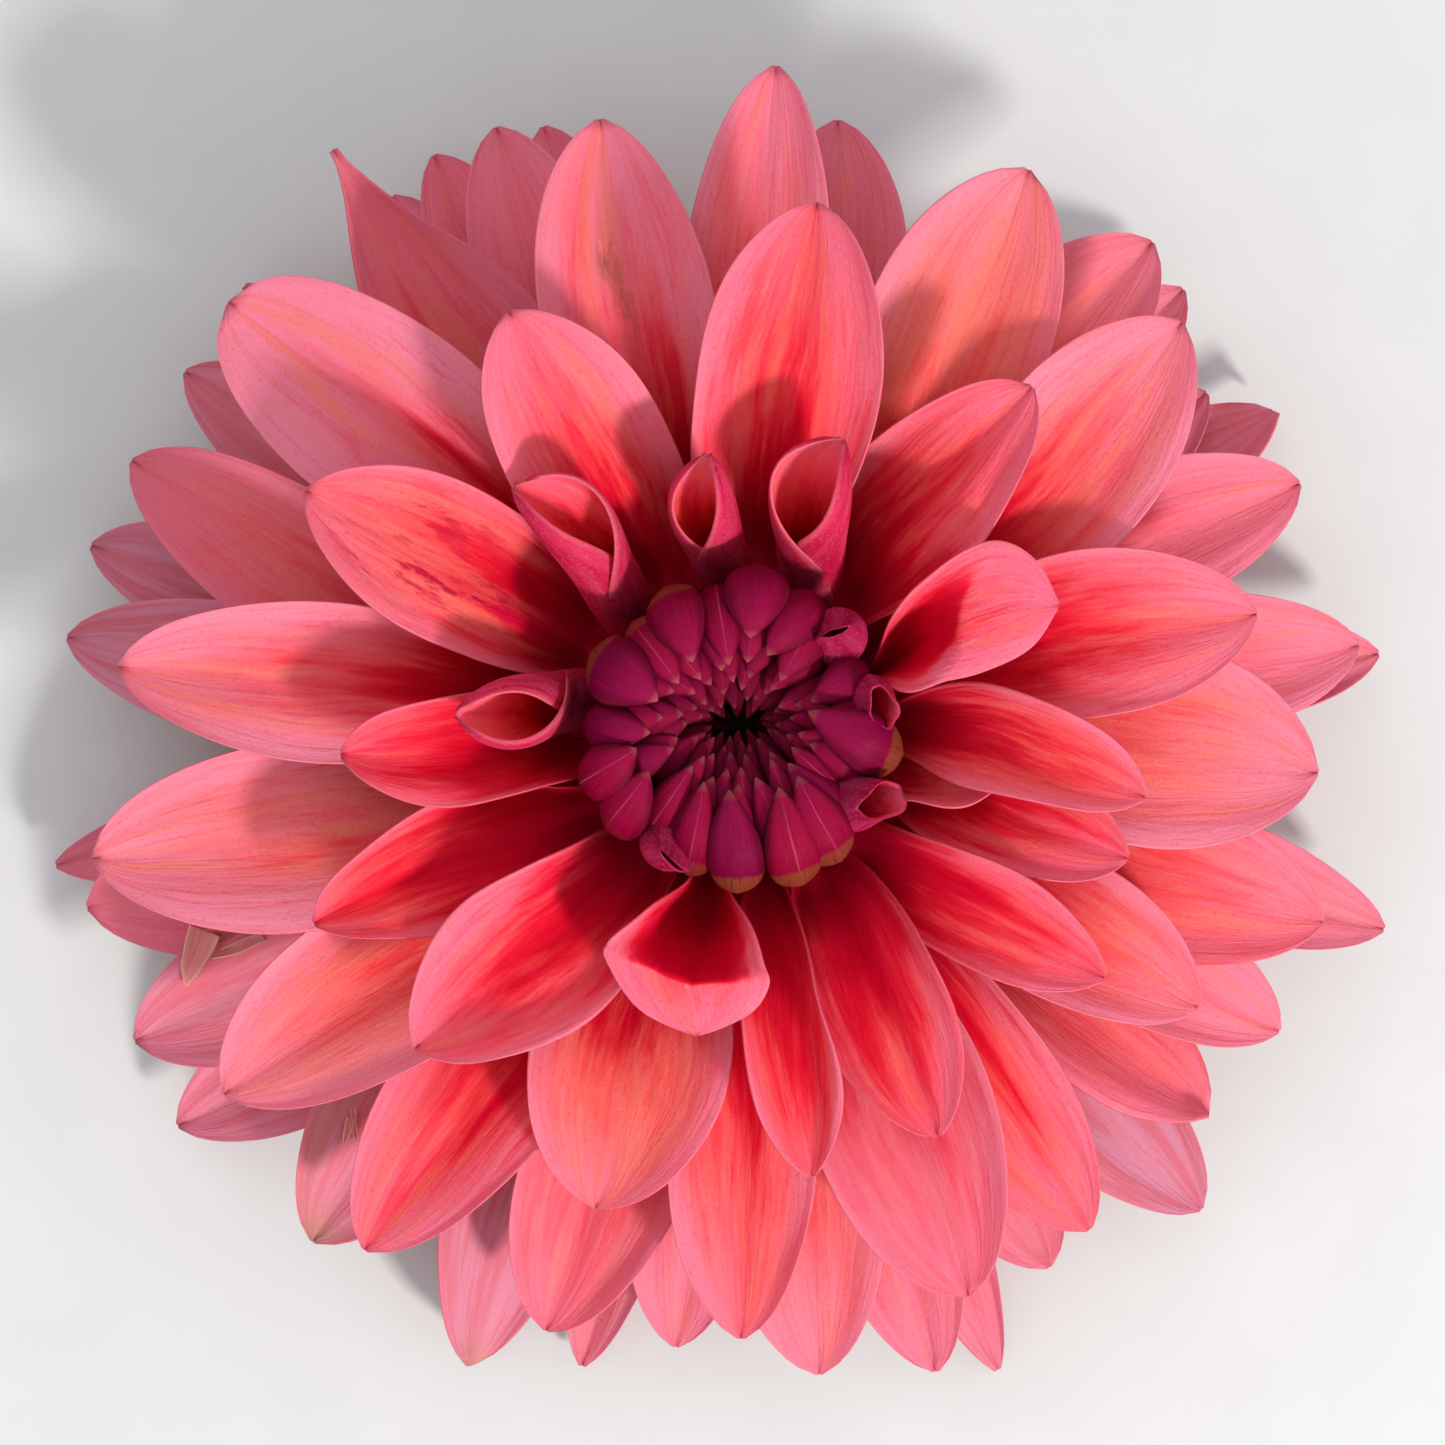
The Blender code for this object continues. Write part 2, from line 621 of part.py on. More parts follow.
def main():
    """Builds the four sub-parts of the bloom."""
    clear_scene()
    bloom = new_collection("dahlia_flower")
    whorls = settled_whorls()
    petals = petal_node("ray_petals", whorls["petals"], CORE_PROFILE, CORE_STEPS, bloom)
    papery = petal_node("inner_bracts", whorls["papery"], BRACT_DISC_PROFILE, STEM_STEPS, bloom)
    leafy = petal_node("stem_and_outer_bracts", whorls["leafy"], STEM_PROFILE, STEM_STEPS, bloom)
    heart = heart_node("heart_florets", bloom)
    finish(petals, material("coral_petal", CORAL, PETAL_ROUGHNESS))
    finish(heart, material("crimson_floret", CRIMSON, FLORET_ROUGHNESS))
    finish(papery, material("papery_bract", STRAW, PAPERY_ROUGHNESS))
    finish(leafy, material("green_stem", GREEN, GREEN_ROUGHNESS))


main()
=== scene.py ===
"""The looks of a dahlia bloom that lies face up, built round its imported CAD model.

The form repeats the source's: petals lie under each other by the same rule, as thin sheets
with pleats, grooves and wavy rims. Lengths in the lists are in millimetres and angles in
degrees; the stem is upright, and azimuths run counterclockwise from +X.
"""

import math
from types import SimpleNamespace

import bmesh
import bpy
import numpy as np
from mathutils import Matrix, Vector


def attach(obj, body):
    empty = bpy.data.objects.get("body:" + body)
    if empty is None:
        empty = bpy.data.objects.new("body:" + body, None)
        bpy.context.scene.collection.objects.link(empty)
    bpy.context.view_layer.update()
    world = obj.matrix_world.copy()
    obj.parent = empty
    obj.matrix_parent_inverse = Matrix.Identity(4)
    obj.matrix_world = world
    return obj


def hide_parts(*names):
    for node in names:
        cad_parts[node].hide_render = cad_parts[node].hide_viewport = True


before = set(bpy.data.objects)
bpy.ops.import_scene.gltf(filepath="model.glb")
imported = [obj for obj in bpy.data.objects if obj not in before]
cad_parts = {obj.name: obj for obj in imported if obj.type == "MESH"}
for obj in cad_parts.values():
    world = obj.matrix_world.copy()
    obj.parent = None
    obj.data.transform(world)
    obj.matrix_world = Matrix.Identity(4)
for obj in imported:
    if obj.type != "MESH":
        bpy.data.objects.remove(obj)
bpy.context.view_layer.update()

MM = 0.001
# Moves the stem off the origin, so that the bloom's box is centred on it.
STEM_X = 2.8
STEM_Y = 0.7

# Turned bodies, as radius and height from the axis at the top round to the axis at the bottom:
# the receptacle that the petals grow from, the middle of the papery cup, and the stem.
CORE_PROFILE = [
    (0, 33), (13.2, 33), (15.6, 30.5), (16.6, 25), (15.6, 18.5), (12, 13.5), (0, 13.5),
]
BRACT_DISC_PROFILE = [(0, 13.2), (9, 13.2), (9.6, 12.6), (9, 12), (0, 12)]
STEM_PROFILE = [(0, 11.7), (8.2, 11.7), (8, 9.6), (5.4, 7.4), (3.9, 5), (3.7, 0), (0, 0)]

# A petal's thickness in the source, for which the laying rule keeps room.
PETAL_THICKNESS = 0.7
# Smallest radius that a petal curls to, and the least half width and half angle it has.
TIGHTEST_CURL = 1.4
LEAST_HALF_WIDTH = 0.5
LEAST_CURL = 0.02
# How the blade widens out of its claw and rounds off to its tip.
OPENING_POWER = 1.3
TIP_POWER = 2.2
TIP_BLUNT = 0.95

# Clear height kept between petals that lie over each other, and between the lowest and the surface.
PETAL_CLEARANCE = 1.0
FLOOR_CLEARANCE = 0.02
# The heart's underside, which the petals round it stay below.
HEART_RADIUS = 18.6
HEART_BASE_RADIUS = 13.0
HEART_UNDERSIDE_Z = 33.0
HEART_FLARE = 0.22
# Clear width kept round the core's flat underside, which the bracts stay below.
CORE_MARGIN = 1.0

# Cell and half side of the height map on which the petals are laid under each other, then the
# points along and across each petal at which it is pressed down, and how often.
MAP_CELL = 0.7
MAP_HALF = 92.0
SETTLE_ALONG = 61
SETTLE_ACROSS = 31
SETTLE_ROUNDS = 3
# Width of the smooth hump that presses a petal down, as a share of its length and half width.
SPREAD_ALONG = 0.22
SPREAD_ACROSS = 0.9
# Share of its length over which a petal's root is held where it grows.
ROOT_HELD = 0.24
# Points along and across each petal that mark where it lies on the map, from just off its root,
# and how far round each the mark reaches, in cells.
MARKS_ALONG = 160
MARKS_ACROSS = 61
FIRST_MARK = 0.04
MARK_REACH = 0.4

# The drooping back petals: how many, how far their azimuths stray, and the least and most reach
# and width.
UNDERLAYER_SEED = 7
UNDERLAYER_COUNT = 13
UNDERLAYER_JITTER = 4
UNDERLAYER_REACH = (58, 66)
UNDERLAYER_WIDTH = (18, 20)
# The bracts under the head: how many, reach, flat width and first azimuth.
PAPERY_BRACTS = (8, 19.5, 11, 12)
LEAFY_BRACTS = (6, 22, 7.5, 30)

# What the petals of a whorl share. Root and tip are given by radius and height, rise and fall
# are the midrib's slopes there, arm is how far those slopes carry, sway turns the root round
# the stem, bow bends the midrib sideways, and lean rolls the blade at its tip as twist does at
# its root. The cup angles curl it, half on each side, cup_left more or less of it on the left,
# and spiral winds one margin inside the other. Its outline is widest at wide_at, narrow by claw
# at the root and pointed by point at the tip, or runs along rails. Fold is where a railed petal
# turns over, fold_turn how far that line slants and shade how much redder and darker the throat
# is behind it, partly its own red and partly painted shade. Soft is how much the relief shows.
# Flame is how far the red of the throat reaches, with a dart of it at dart_at, deep how dark the
# root is, partly its own crimson and partly painted shade by the heart, fade how pale the rest,
# mauve how dull its pink, and hue turns it to pink, down to -1, or salmon, up to 1, by chance
# where it is None. Marks are stains, scars and withered patches, and painted shade along a
# crease and in a gap; each is its kind, place along and across, half sizes and strength.
PLAIN = dict(
    sway=0, bow=0, lean=0, twist=0, spiral=0, cup_left=1, rails=None, fold=0, fold_turn=0, shade=0,
    mauve=0, dart=0, dart_at=0, marks=(),
)
ROLLED = dict(
    PLAIN, root_r=13.2, root_z=29.8, tip_z=49.8, rise=16, fall=-50, arm=0.36, lean=-22, twist=22,
    spiral=0.15, cup_root=240, cup_mid=232, cup_tip=112, wide_at=0.45, point=0.55, claw=0.9,
    soft=0.5, flame=0.74, deep=0.15, fade=0, hue=-0.3,
)
SECOND = dict(
    PLAIN, root_r=13.2, root_z=28.4, tip_z=45, rise=56, fall=4, arm=0.38, cup_root=78, cup_mid=36,
    cup_tip=24, wide_at=0.6, point=0.66, claw=0.25, soft=1, flame=0.62, deep=1, fade=0.2, hue=None,
)
THIRD = dict(
    SECOND, root_r=13.8, root_z=24.6, tip_z=33, rise=36, fall=9, cup_mid=30, cup_tip=20,
    flame=0.56, fade=0.42,
)
FOURTH = dict(
    SECOND, root_r=13.8, root_z=21.2, tip_z=16, rise=22, fall=20, cup_mid=30, cup_tip=22,
    flame=0.44, fade=0.5, mauve=0.2,
)
FIFTH = dict(FOURTH, root_r=12.8, root_z=18.4, tip_z=7, rise=10, fall=20, cup_tip=26, mauve=0.5)
UNDERLAYER = dict(FOURTH, root_r=11, root_z=16, tip_z=0.2, rise=-4, fall=12, cup_mid=22, mauve=0.75)
PAPERY = dict(
    SECOND, root_r=8, root_z=12.5, tip_z=10, rise=-6, fall=12, cup_root=20, cup_mid=22, cup_tip=16,
    claw=0.6, flame=0,
)
LEAFY = dict(PAPERY, root_r=6, root_z=9.8, tip_z=5, rise=4, fall=30, claw=0.55, point=0.9)

# The two petals by the heart that fold over lie along these rails alone: midline, left margin and
# right margin from root to tip, as x, y, z from the stem's foot.
HOOD_RAILS = (
    [(-3.3, -13, 29.8), (-3.4, -17.5, 31.5), (-3.9, -21.3, 34), (-4.7, -24.6, 40.5), (-5.2, -26.2, 46.4),
     (-5.3, -27.4, 47), (-5, -30.4, 45.6), (-4.8, -32.6, 41.5)],
    [(-2, -13, 32), (-1.2, -16.8, 39.5), (0.4, -19.6, 44), (1.6, -22.4, 46), (2.6, -25.2, 46.6),
     (2.7, -26.9, 46.4), (0.6, -29.8, 44.6), (-4.3, -32.5, 41.3)],
    [(-4.6, -13, 32), (-6, -16.2, 40), (-10, -18.4, 45), (-13, -20.6, 46.6), (-14.4, -22.4, 47),
     (-14.5, -24, 46.6), (-11.2, -28.6, 44.6), (-5.3, -32.5, 41.3)],
)
SHELL_RAILS = (
    [(12.6, 5.2, 29.8), (15.2, 6.6, 32), (17.3, 8.4, 34.5), (20, 10.4, 40), (22.6, 11.6, 46),
     (24.4, 12.2, 47.4), (29.6, 13.6, 47.6), (33.7, 13.6, 46.5)],
    [(13.5, 6.5, 32), (14.7, 8.6, 39), (16.1, 12.3, 43.5), (18.5, 15.9, 46), (21.7, 18.4, 47.2),
     (26.8, 20.5, 47.6), (31, 18.6, 47.4), (33.8, 13.9, 46.5)],
    [(13.5, 4.6, 32), (14.7, 5.6, 38.5), (15.8, 5, 42.5), (18.3, 4.5, 45), (22.1, 5.6, 45.8),
     (26, 6.9, 46.2), (30.7, 9.3, 46.4), (33.6, 13.2, 46.4)],
)

# In each list the petals run from the topmost down: azimuth, reach and flat width, then
# what sets the petal apart from the rest of its whorl.
ROLLED_PETALS = [
    (97, 29.7, 24, {}),
    (71, 32.7, 27, dict(sway=-4, tip_z=50.4, cup_mid=218, cup_tip=98, lean=-28)),
    (133, 35.6, 25, dict(
        bow=-0.5, lean=30, twist=-16, cup_mid=214, cup_tip=104, tip_z=48, fall=-30, spiral=-0.15)),
    (176, 30.4, 26, dict(sway=-6, lean=-4, twist=24, tip_z=49, fall=-44)),
    (259, 32.7, 20.5, dict(
        rails=HOOD_RAILS, wide_at=0.76, claw=0.2, point=0.66, deep=0.6, fold=0.62, shade=1.3, flame=0.4)),
    (23, 36.2, 21, dict(
        rails=SHELL_RAILS, wide_at=0.6, claw=0.3, point=0.8, deep=0.6, fold=0.56, fold_turn=0.14,
        shade=0.8, flame=0.5)),
]
SECOND_PETALS = [
    (351, 43.5, 13, dict(flame=0.75, sway=9, bow=2.5, tip_z=47, cup_mid=44)),
    (350, 28.7, 9.5, dict(sway=-6, tip_z=40, cup_mid=60)),
    (82, 57.2, 21.5, dict(hue=0.2, flame=0.58, dart=0.22, dart_at=-0.1, sway=2, tip_z=46)),
    (50, 48.1, 18.5, dict(flame=0.7, bow=2, tip_z=47, cup_mid=44, cup_tip=34)),
    (119, 51.4, 20, dict(hue=0.1, tip_z=46, flame=0.55, fade=0.35, dart=0.32, dart_at=0.1)),
    (151, 53.4, 18.5, dict(hue=0.5, tip_z=45, bow=-1, marks=(
        ("blotch_and_shade", 0.74, -0.5, 0.18, 0.3, 1), ("blotch_and_shade", 0.8, 0.45, 0.16, 0.25, 0.8),
        ("blotch_and_shade", 0.56, 0.15, 0.24, 0.35, 1.1)))),
    (183, 43.2, 14, dict(flame=1.1, fade=0.2, tip_z=43, cup_mid=46)),
    (224, 48.9, 20, dict(
        soft=1.7, hue=-0.2, flame=0.74, fade=0.3, dart=0.15, dart_at=-0.1, sway=9, bow=0.5, tip_z=43,
        cup_mid=42)),
    (279, 48.4, 13, dict(flame=0.9, fade=0.2, cup_left=2, sway=2, tip_z=42, cup_mid=44)),
    (296, 48.4, 16, dict(flame=0.9, fade=0.2, sway=5, tip_z=42)),
    (326, 47.2, 13, dict(flame=0.9, sway=-9, bow=-1, tip_z=42)),
    (204, 50.5, 15, dict(soft=1.5, flame=1, dart=0.3, sway=8, bow=-1.5, tip_z=42)),
    (342, 44.1, 14, dict(flame=0.8, sway=3, tip_z=39, root_z=27)),
]
THIRD_PETALS = [
    (103, 69.2, 20.5, dict(hue=-0.3, fade=0.6, bow=3, tip_z=34, marks=(
        ("scar_and_shade", 0.74, 0.1, 0.05, 0.1, 1.3), ("scar_and_shade", 0.64, 0, 0.06, 0.07, 1)))),
    (140, 73.6, 22, dict(
        hue=-0.9, flame=0.48, dart=0.14, fade=0.8, sway=-4, bow=-1, tip_z=34, cup_tip=6, wide_at=0.64,
        point=0.52)),
    (13, 57.7, 19.5, dict(hue=0.1, flame=0.7, sway=2, bow=2, tip_z=37, rise=42)),
    (43, 66, 21.5, dict(hue=0.3, fade=0.7, sway=-8, bow=-2, tip_z=35)),
    (63, 69.5, 23, dict(hue=0.6, flame=0.42, fade=0.9, sway=-7, tip_z=34)),
    (356, 63.7, 24.5, dict(hue=0.35, flame=0.5, fade=0.7, sway=8, bow=1, tip_z=33)),
    (329, 58.9, 17.5, dict(flame=0.65, tip_z=32)),
    (174, 68.9, 18.5, dict(hue=0.1, fade=0.7, dart=0.12, bow=-1, tip_z=34)),
    (191, 73.2, 22.5, dict(hue=0.2, flame=0.36, fade=0.95, sway=6, bow=0.5, tip_z=31)),
    (215, 69.9, 21, dict(hue=0.5, flame=0.6, fade=0.6, sway=7, bow=-2, tip_z=31)),
    (253, 54.7, 23.5, dict(hue=0.7, flame=0.62, sway=-8, tip_z=34, rise=42, marks=(
        # The two specks are scars; the thin line across between them is painted shade along a crease.
        ("scar_and_shade", 0.7, -0.32, 0.012, 0.03, 3), ("scar_and_shade", 0.72, 0.4, 0.012, 0.03, 3),
        ("blotch_and_shade", 0.71, 0.04, 0.006, 0.3, 0.8)))),
    (270, 67.4, 17.5, dict(hue=0.4, flame=0.66, fade=0.3, tip_z=29)),
    (292, 67.3, 22, dict(hue=-0.3, flame=0.7, fade=0.15, mauve=0.3, sway=2, tip_z=31)),
    (305, 68, 17, dict(hue=0.2, flame=0.7, fade=0.3, tip_z=26)),
    (234, 71.5, 19.5, dict(hue=0.1, flame=0.8, fade=0.3, sway=4, bow=-1.5, tip_z=27)),
    (87, 74.4, 17, dict(flame=0.4, fade=0.6, bow=1.5, tip_z=28)),
    (342, 68.6, 20.5, dict(hue=0.3, bow=-1, tip_z=26)),
]
FOURTH_PETALS = [
    (125, 78.9, 21, dict(
        hue=-0.3, sway=3, bow=0.5, tip_z=30, cup_tip=70, fall=-25, wide_at=0.55, point=1.25)),
    (112, 74.8, 18, dict(bow=2)),
    (81, 70.7, 19, dict(bow=-3, tip_z=18)),
    (50, 72.7, 20, dict(bow=2, tip_z=20)),
    (24, 69.5, 18, dict(bow=2, tip_z=20)),
    (8, 71.9, 18, dict(tip_z=14)),
    (331, 70.6, 17, {}),
    (321, 68.7, 17, dict(flame=0.6, fade=0.2, cup_mid=50, tip_z=21)),
    (277, 74.5, 20, dict(bow=0.5, tip_z=14)),
    (287, 77.4, 17, dict(tip_z=12)),
    (252, 71.8, 20, dict(hue=0.3, flame=0.7, fade=0.3, bow=0.7, tip_z=18)),
    (264, 71.5, 17, dict(tip_z=12)),
    (230, 76.6, 20, dict(hue=-0.3, mauve=0.8, bow=-3, tip_z=14, marks=(
        ("wither", 1, 0, 0.05, 0.9, 0.8), ("wither", 0.8, -0.75, 0.12, 0.3, 0.35)))),
    (207, 78.3, 20, dict(hue=0.2, bow=1.5, tip_z=14, mauve=0.75, marks=(
        # This mark is painted shade, in the dark gap between a torn strip and the petal above.
        ("scar_and_shade", 0.74, -0.8, 0.05, 0.16, 2.2),))),
    (195, 78.3, 20, dict(bow=2, tip_z=12)),
    (156, 76.1, 18, dict(sway=8, bow=2, tip_z=18)),
    (172, 79, 17, dict(bow=1, tip_z=10, mauve=0.9)),
]
FIFTH_PETALS = [
    (118, 75.9, 16, dict(hue=-0.9, mauve=0.2, fade=0.3, tip_z=10)),
    (108, 74.5, 16, dict(hue=-0.9, mauve=0.2, fade=0.3)),
    (123, 75.1, 15, dict(hue=-0.9, mauve=0.4, tip_z=5)),
    (45, 73.1, 16, dict(tip_z=8)),
    (36, 67.5, 16, {}),
    (31, 73.1, 16, dict(tip_z=9)),
    (7, 74.9, 15, dict(tip_z=9)),
    (343, 78.2, 15, dict(tip_z=10)),
    (314, 77.1, 18, dict(tip_z=10, mauve=1, fade=1)),
    (300, 72.3, 18, {}),
    (292, 81.4, 11.5, dict(tip_z=2, mauve=0.4, fade=1.2)),
    (256, 77.1, 12.5, dict(tip_z=3)),
    (247, 80.4, 18, dict(hue=-0.4, mauve=0.9, bow=-4, tip_z=9, marks=(
        ("wither", 1, 0, 0.04, 0.9, 0.5),))),
    (215, 80.5, 18, dict(hue=-0.5, mauve=0.7, bow=3, tip_z=6)),
    (191, 81.9, 12.5, dict(tip_z=5)),
    (164, 79.2, 17, dict(tip_z=6, mauve=0.9)),
    (147, 77.3, 17, dict(tip_z=8, mauve=0.7)),
    (138, 78.4, 13.5, dict(tip_z=5)),
]

# Withered strips torn off margins at the left: x, y, z and half width from the torn end to the tip.
TORN = dict(PAPERY, soft=0.1)
TORN_MARGINS = [
    [(-60.6, -22.4, 21.3, 1.8), (-61.5, -24.6, 20.6, 1.6), (-62.5, -26.8, 19.8, 1.1),
     (-63.3, -28.8, 18.9, 0.2)],
    [(-60.6, -25.6, 19.7, 0.2), (-58.6, -24.9, 20.3, 0.6), (-56.4, -24.1, 21, 0.7),
     (-54, -23, 21.7, 0.6)],
    [(-44.2, -43.6, 20.3, 0.5), (-44.5, -44.8, 20.2, 0.5), (-44.8, -45.8, 19.9, 0.4),
     (-45.1, -46.8, 19.5, 0.1)],
    [(-44, -42.6, 20.5, 0.4), (-43.9, -44, 20.3, 0.3), (-43.8, -45.4, 20, 0.3),
     (-43.7, -46.8, 19.5, 0.1)],
]
# How far a strip's margins stand up, as a share of its half width.
TORN_CURL = 0.45

UP = np.array([0.0, 0.0, 1.0])

# The camera's place in millimetres, and its lens.
CAMERA_X = STEM_X - 2.08
CAMERA_Y = STEM_Y + 1.12
CAMERA_Z = 450
SENSOR = 36
LENS = 94.27
# Each lamp's azimuth, elevation, distance and side in metres, power and colour.
LAMPS = {
    "key": (-51, 38, 1.3, 0.17, 13, (1, 0.97, 0.93)),
    "fill": (120, 60, 1.3, 0.8, 1.2, (0.93, 0.96, 1)),
}
# Strength and colour of the even light from all round.
SURROUND = 0.66
SURROUND_COLOUR = (0.95, 0.97, 1)
# Half the floor's side in metres, and its height in millimetres, a hair below the stem's foot.
FLOOR_HALF = 3.0
FLOOR_Z = -0.02

# A petal sheet's cells along and across, finer to the rims, its thickness at the rim and in the
# middle, and the height that no point of it goes below.
ROWS = 46
COLUMNS = 24
RIM_FINENESS = 1.55
SHEET_RIM = 0.24
SHEET_MIDDLE = 0.46
LOWEST = 0.03
# A petal's relief: its pleats, ribs and midline groove, the keel that its sides rise from, higher
# under the tip, and the waves of its rims. Counts are waves over half its width or its length.
PLEAT = 0.24
PLEATS_ACROSS = 1.25
PLEATS_ALONG = 0.25
RIB = 0.06
RIBS_ACROSS = 4.3
GROOVE = 0.3
GROOVE_WIDTH = 0.13
KEEL = 1.0
KEEL_TIP = 1.5
KEEL_ROUND = 0.01
RIM_WAVE = 0.55
WAVES_ALONG = 1.7
# How flat the floor of a folded petal is across, before its sides rise.
RAIL_HOLLOW = 2.2
# Share of a folded petal's length over which the red and the painted shade of its throat end at the fold.
FOLD_BLEND = 0.08
# Half width of the dart of red, how far chance turns a petal to pink or salmon, the kinds of mark
# that it can carry, and the colours of two of them; the scars' colour also paints shade in a gap.
DART_WIDTH = 0.22
HUES = (-0.6, 0.6)
MARKS = ("scar_and_shade", "blotch_and_shade", "wither")
WITHERED = (0.5, 0.26, 0.16)
SCARRED_AND_SHADED = (0.44, 0.12, 0.09)
# What the shaders read at each point. Place is along, across and a number of the solid's own;
# tone, mark and tint depend on the look.
LAYERS = ("place", "tone", "mark", "tint")

# A solid's cell on its piece's bake map: the share that its walls take, the rows of its two ends
# in the rest, and the gap round the cell.
CHART_WALLS = 0.95
CHART_ENDS = (0.7, 0.7, 0.2, 0.2)
CHART_GAP = 0.012

# Closed florets at the rim: outer azimuth and radius, tip azimuth and radius, width, root and
# tip height, and how much of an olive cap the outer end wears.
FLORETS = [
    (269, 16.5, 257, 6.2, 6.6, 34, 46.6, 1),
    (291, 16.8, 304, 7, 6.7, 34, 46.6, 1),
    (307, 16.6, 322, 7.5, 6.6, 34, 46.2, 0.9),
    (250, 16, 232, 6.6, 5.2, 33.8, 45.8, 0.6),
    (217, 16.7, 202, 10.8, 6.2, 34, 46.4, 0.1),
    (199, 16.9, 188, 11.4, 6.4, 34, 46.9, 0),
    (177, 16.2, 180, 9.8, 5.4, 33.8, 45.9, 0),
    (152, 16.9, 159, 9.6, 7.6, 34, 47, 0.8),
    (134, 15.8, 142, 8.6, 6, 33.8, 45.6, 0.7),
    (117, 16.6, 125, 9.2, 6.6, 34, 46.9, 0.8),
    (100, 15.6, 101, 7.4, 5.4, 33.8, 45.7, 0),
    (84, 16.8, 85, 10.2, 7.2, 34, 46.9, 0.1),
    (63, 16, 72, 8.7, 6.2, 33.8, 46, 0),
    (351, 16.6, 18, 7.4, 6.8, 34, 47, 1),
]
# The inner rings by rule: how many, outer radius, how far the tips stay off the hollow, width,
# root and tip height, first azimuth.
INNER_RINGS = [
    (15, 14.4, 5.2, 5.3, 35, 44.9, 8),
    (14, 12.6, 3.8, 4.7, 35.6, 43.7, 20),
    (14, 11, 2.5, 4.1, 36, 42.3, 4),
    (13, 9.4, 1.4, 3.6, 36.2, 40.9, 30),
    (12, 8, 0.6, 3.1, 36, 39.6, 12),
    (11, 6.6, 0, 2.7, 35.6, 38.4, 0),
]
# The dark hollow in the middle of the heart: its centre and half widths.
HOLLOW = (-0.3, 1.0, 2.6, 0.9)
HEART_SEED = 11
# The floor under the florets, painted near black as shade in the gaps between them and in the hollow: radius
# and height from its middle outward.
HEART_FLOOR = [
    (0, 33.8), (2.4, 34), (4.6, 35.6), (7, 37.2), (9.5, 38.2), (12.6, 38.4), (14.6, 37.2), (15.2, 35.2),
    (14, 33.3), (0, 33.3),
]
# Top of the heart, and how far down from it the florets' painted shade deepens.
HEART_TOP_Z = 46.5
HEART_DEPTH = 9.0
# A closed floret's cells, where it is widest, how bluntly it narrows to its tip, its depth as a
# share of its width, how far in it is rooted and bulges out, its ridge and its lumps.
FLORET_ROWS = 30
FLORET_AROUND = 24
FLORET_WIDEST = 0.68
FLORET_NARROWS = 1.9
FLORET_DEPTH = 0.75
FLORET_ROOT_IN = 5.0
FLORET_BULGE = 1.6
FLORET_RIDGE = 0.08
FLORET_LUMP = 0.04

# Florets at the heart's rim that have begun to open: azimuth and radius of the mouth, half width,
# top height, azimuth and reach of the lip, how far the rim closes, and how far it is pressed flat.
OPENING_FLORETS = [
    (14, 15.2, 3, 47.2, -70, 0.3, 0.16, 0.4),
    (45, 16, 3.2, 46.9, 200, 0.45, 0.42, 0.86),
    (236, 15.4, 3.2, 46.7, -42, 0.5, 0.36, 0.84),
    (327, 15.2, 3.2, 47.2, 24, 0.85, 0.06, 0.36),
]
# Their cells, the height of their roots, their walls' thickness, how deep their mouths are, how far
# their roots lean in, and how far their rims wave, dip toward the lip and are creased.
CUP_ROWS = 36
CUP_AROUND = 40
CUP_ROOT_Z = 35.5
CUP_WALL = 0.3
CUP_PIT = 5.0
CUP_LEAN = 3.5
CUP_RIM_WAVE = 0.5
CUP_LIP_DROP = 1.2
CUP_CREASE = 0.07
# Power that draws the two ends of a pressed mouth to points.
CUP_POINTED = 0.5


def unit(vectors):
    """The same rows of x, y, z at length 1."""
    return vectors / np.linalg.norm(vectors, axis=-1, keepdims=True)


def smooth(t):
    """0 to 1, level at both ends."""
    t = np.clip(t, 0, 1)
    return t * t * (3 - 2 * t)


def grid(along, across):
    """Both numbers at each point of a grid, from the numbers along it and across it."""
    return np.meshgrid(along, across, indexing="ij")


def heading(azimuth):
    """The level direction at an azimuth in degrees."""
    return np.array([math.cos(math.radians(azimuth)), math.sin(math.radians(azimuth)), 0.0])


def cubic(ends, t):
    """A point of the curve through four control points, and its direction there."""
    start, first, last, end = ends
    back = 1 - t
    point = start * back**3 + first * 3 * t * back**2 + last * 3 * t**2 * back + end * t**3
    along = (first - start) * back**2 + (last - first) * 2 * t * back + (end - last) * t**2
    return point, unit(along)


def petals_of(whorl, rows):
    """One petal for each row of a list, on top of what its whorl shares."""
    return [
        SimpleNamespace(**{**whorl, "azimuth": azimuth, "reach": reach, "width": width, **own})
        for azimuth, reach, width, own in rows
    ]


def underlayer_rows():
    """The drooping back petals, evenly round with a little chance in place and size."""
    chance = np.random.default_rng(UNDERLAYER_SEED)
    rows = []
    for number in range(UNDERLAYER_COUNT):
        azimuth = 360 / UNDERLAYER_COUNT * number + chance.uniform(-UNDERLAYER_JITTER, UNDERLAYER_JITTER)
        rows.append((azimuth, chance.uniform(*UNDERLAYER_REACH), chance.uniform(*UNDERLAYER_WIDTH), {}))
    return rows


def bract_rows(count, reach, width, turn):
    """Like bracts, evenly round the stem."""
    return [(360 / count * number + turn, reach, width, {}) for number in range(count)]


def midrib(petal, u):
    """Points of the midrib from root (u = 0) to tip (u = 1), and its direction there."""
    root = heading(petal.azimuth + petal.sway) * petal.root_r + UP * petal.root_z
    tip = heading(petal.azimuth) * petal.reach + UP * petal.tip_z
    run = tip - root
    out = unit(np.array([run[0], run[1], 0.0]))
    side = np.cross(UP, out) * petal.bow
    arm = petal.arm * np.linalg.norm(run)
    rise = math.radians(petal.rise)
    fall = math.radians(petal.fall)
    start = heading(petal.azimuth + petal.sway) * math.cos(rise) + UP * math.sin(rise)
    end = out * math.cos(fall) - UP * math.sin(fall)
    first = root + start * arm + side
    last = tip - end * arm + side
    return cubic((root, first, last, tip), u[:, None])


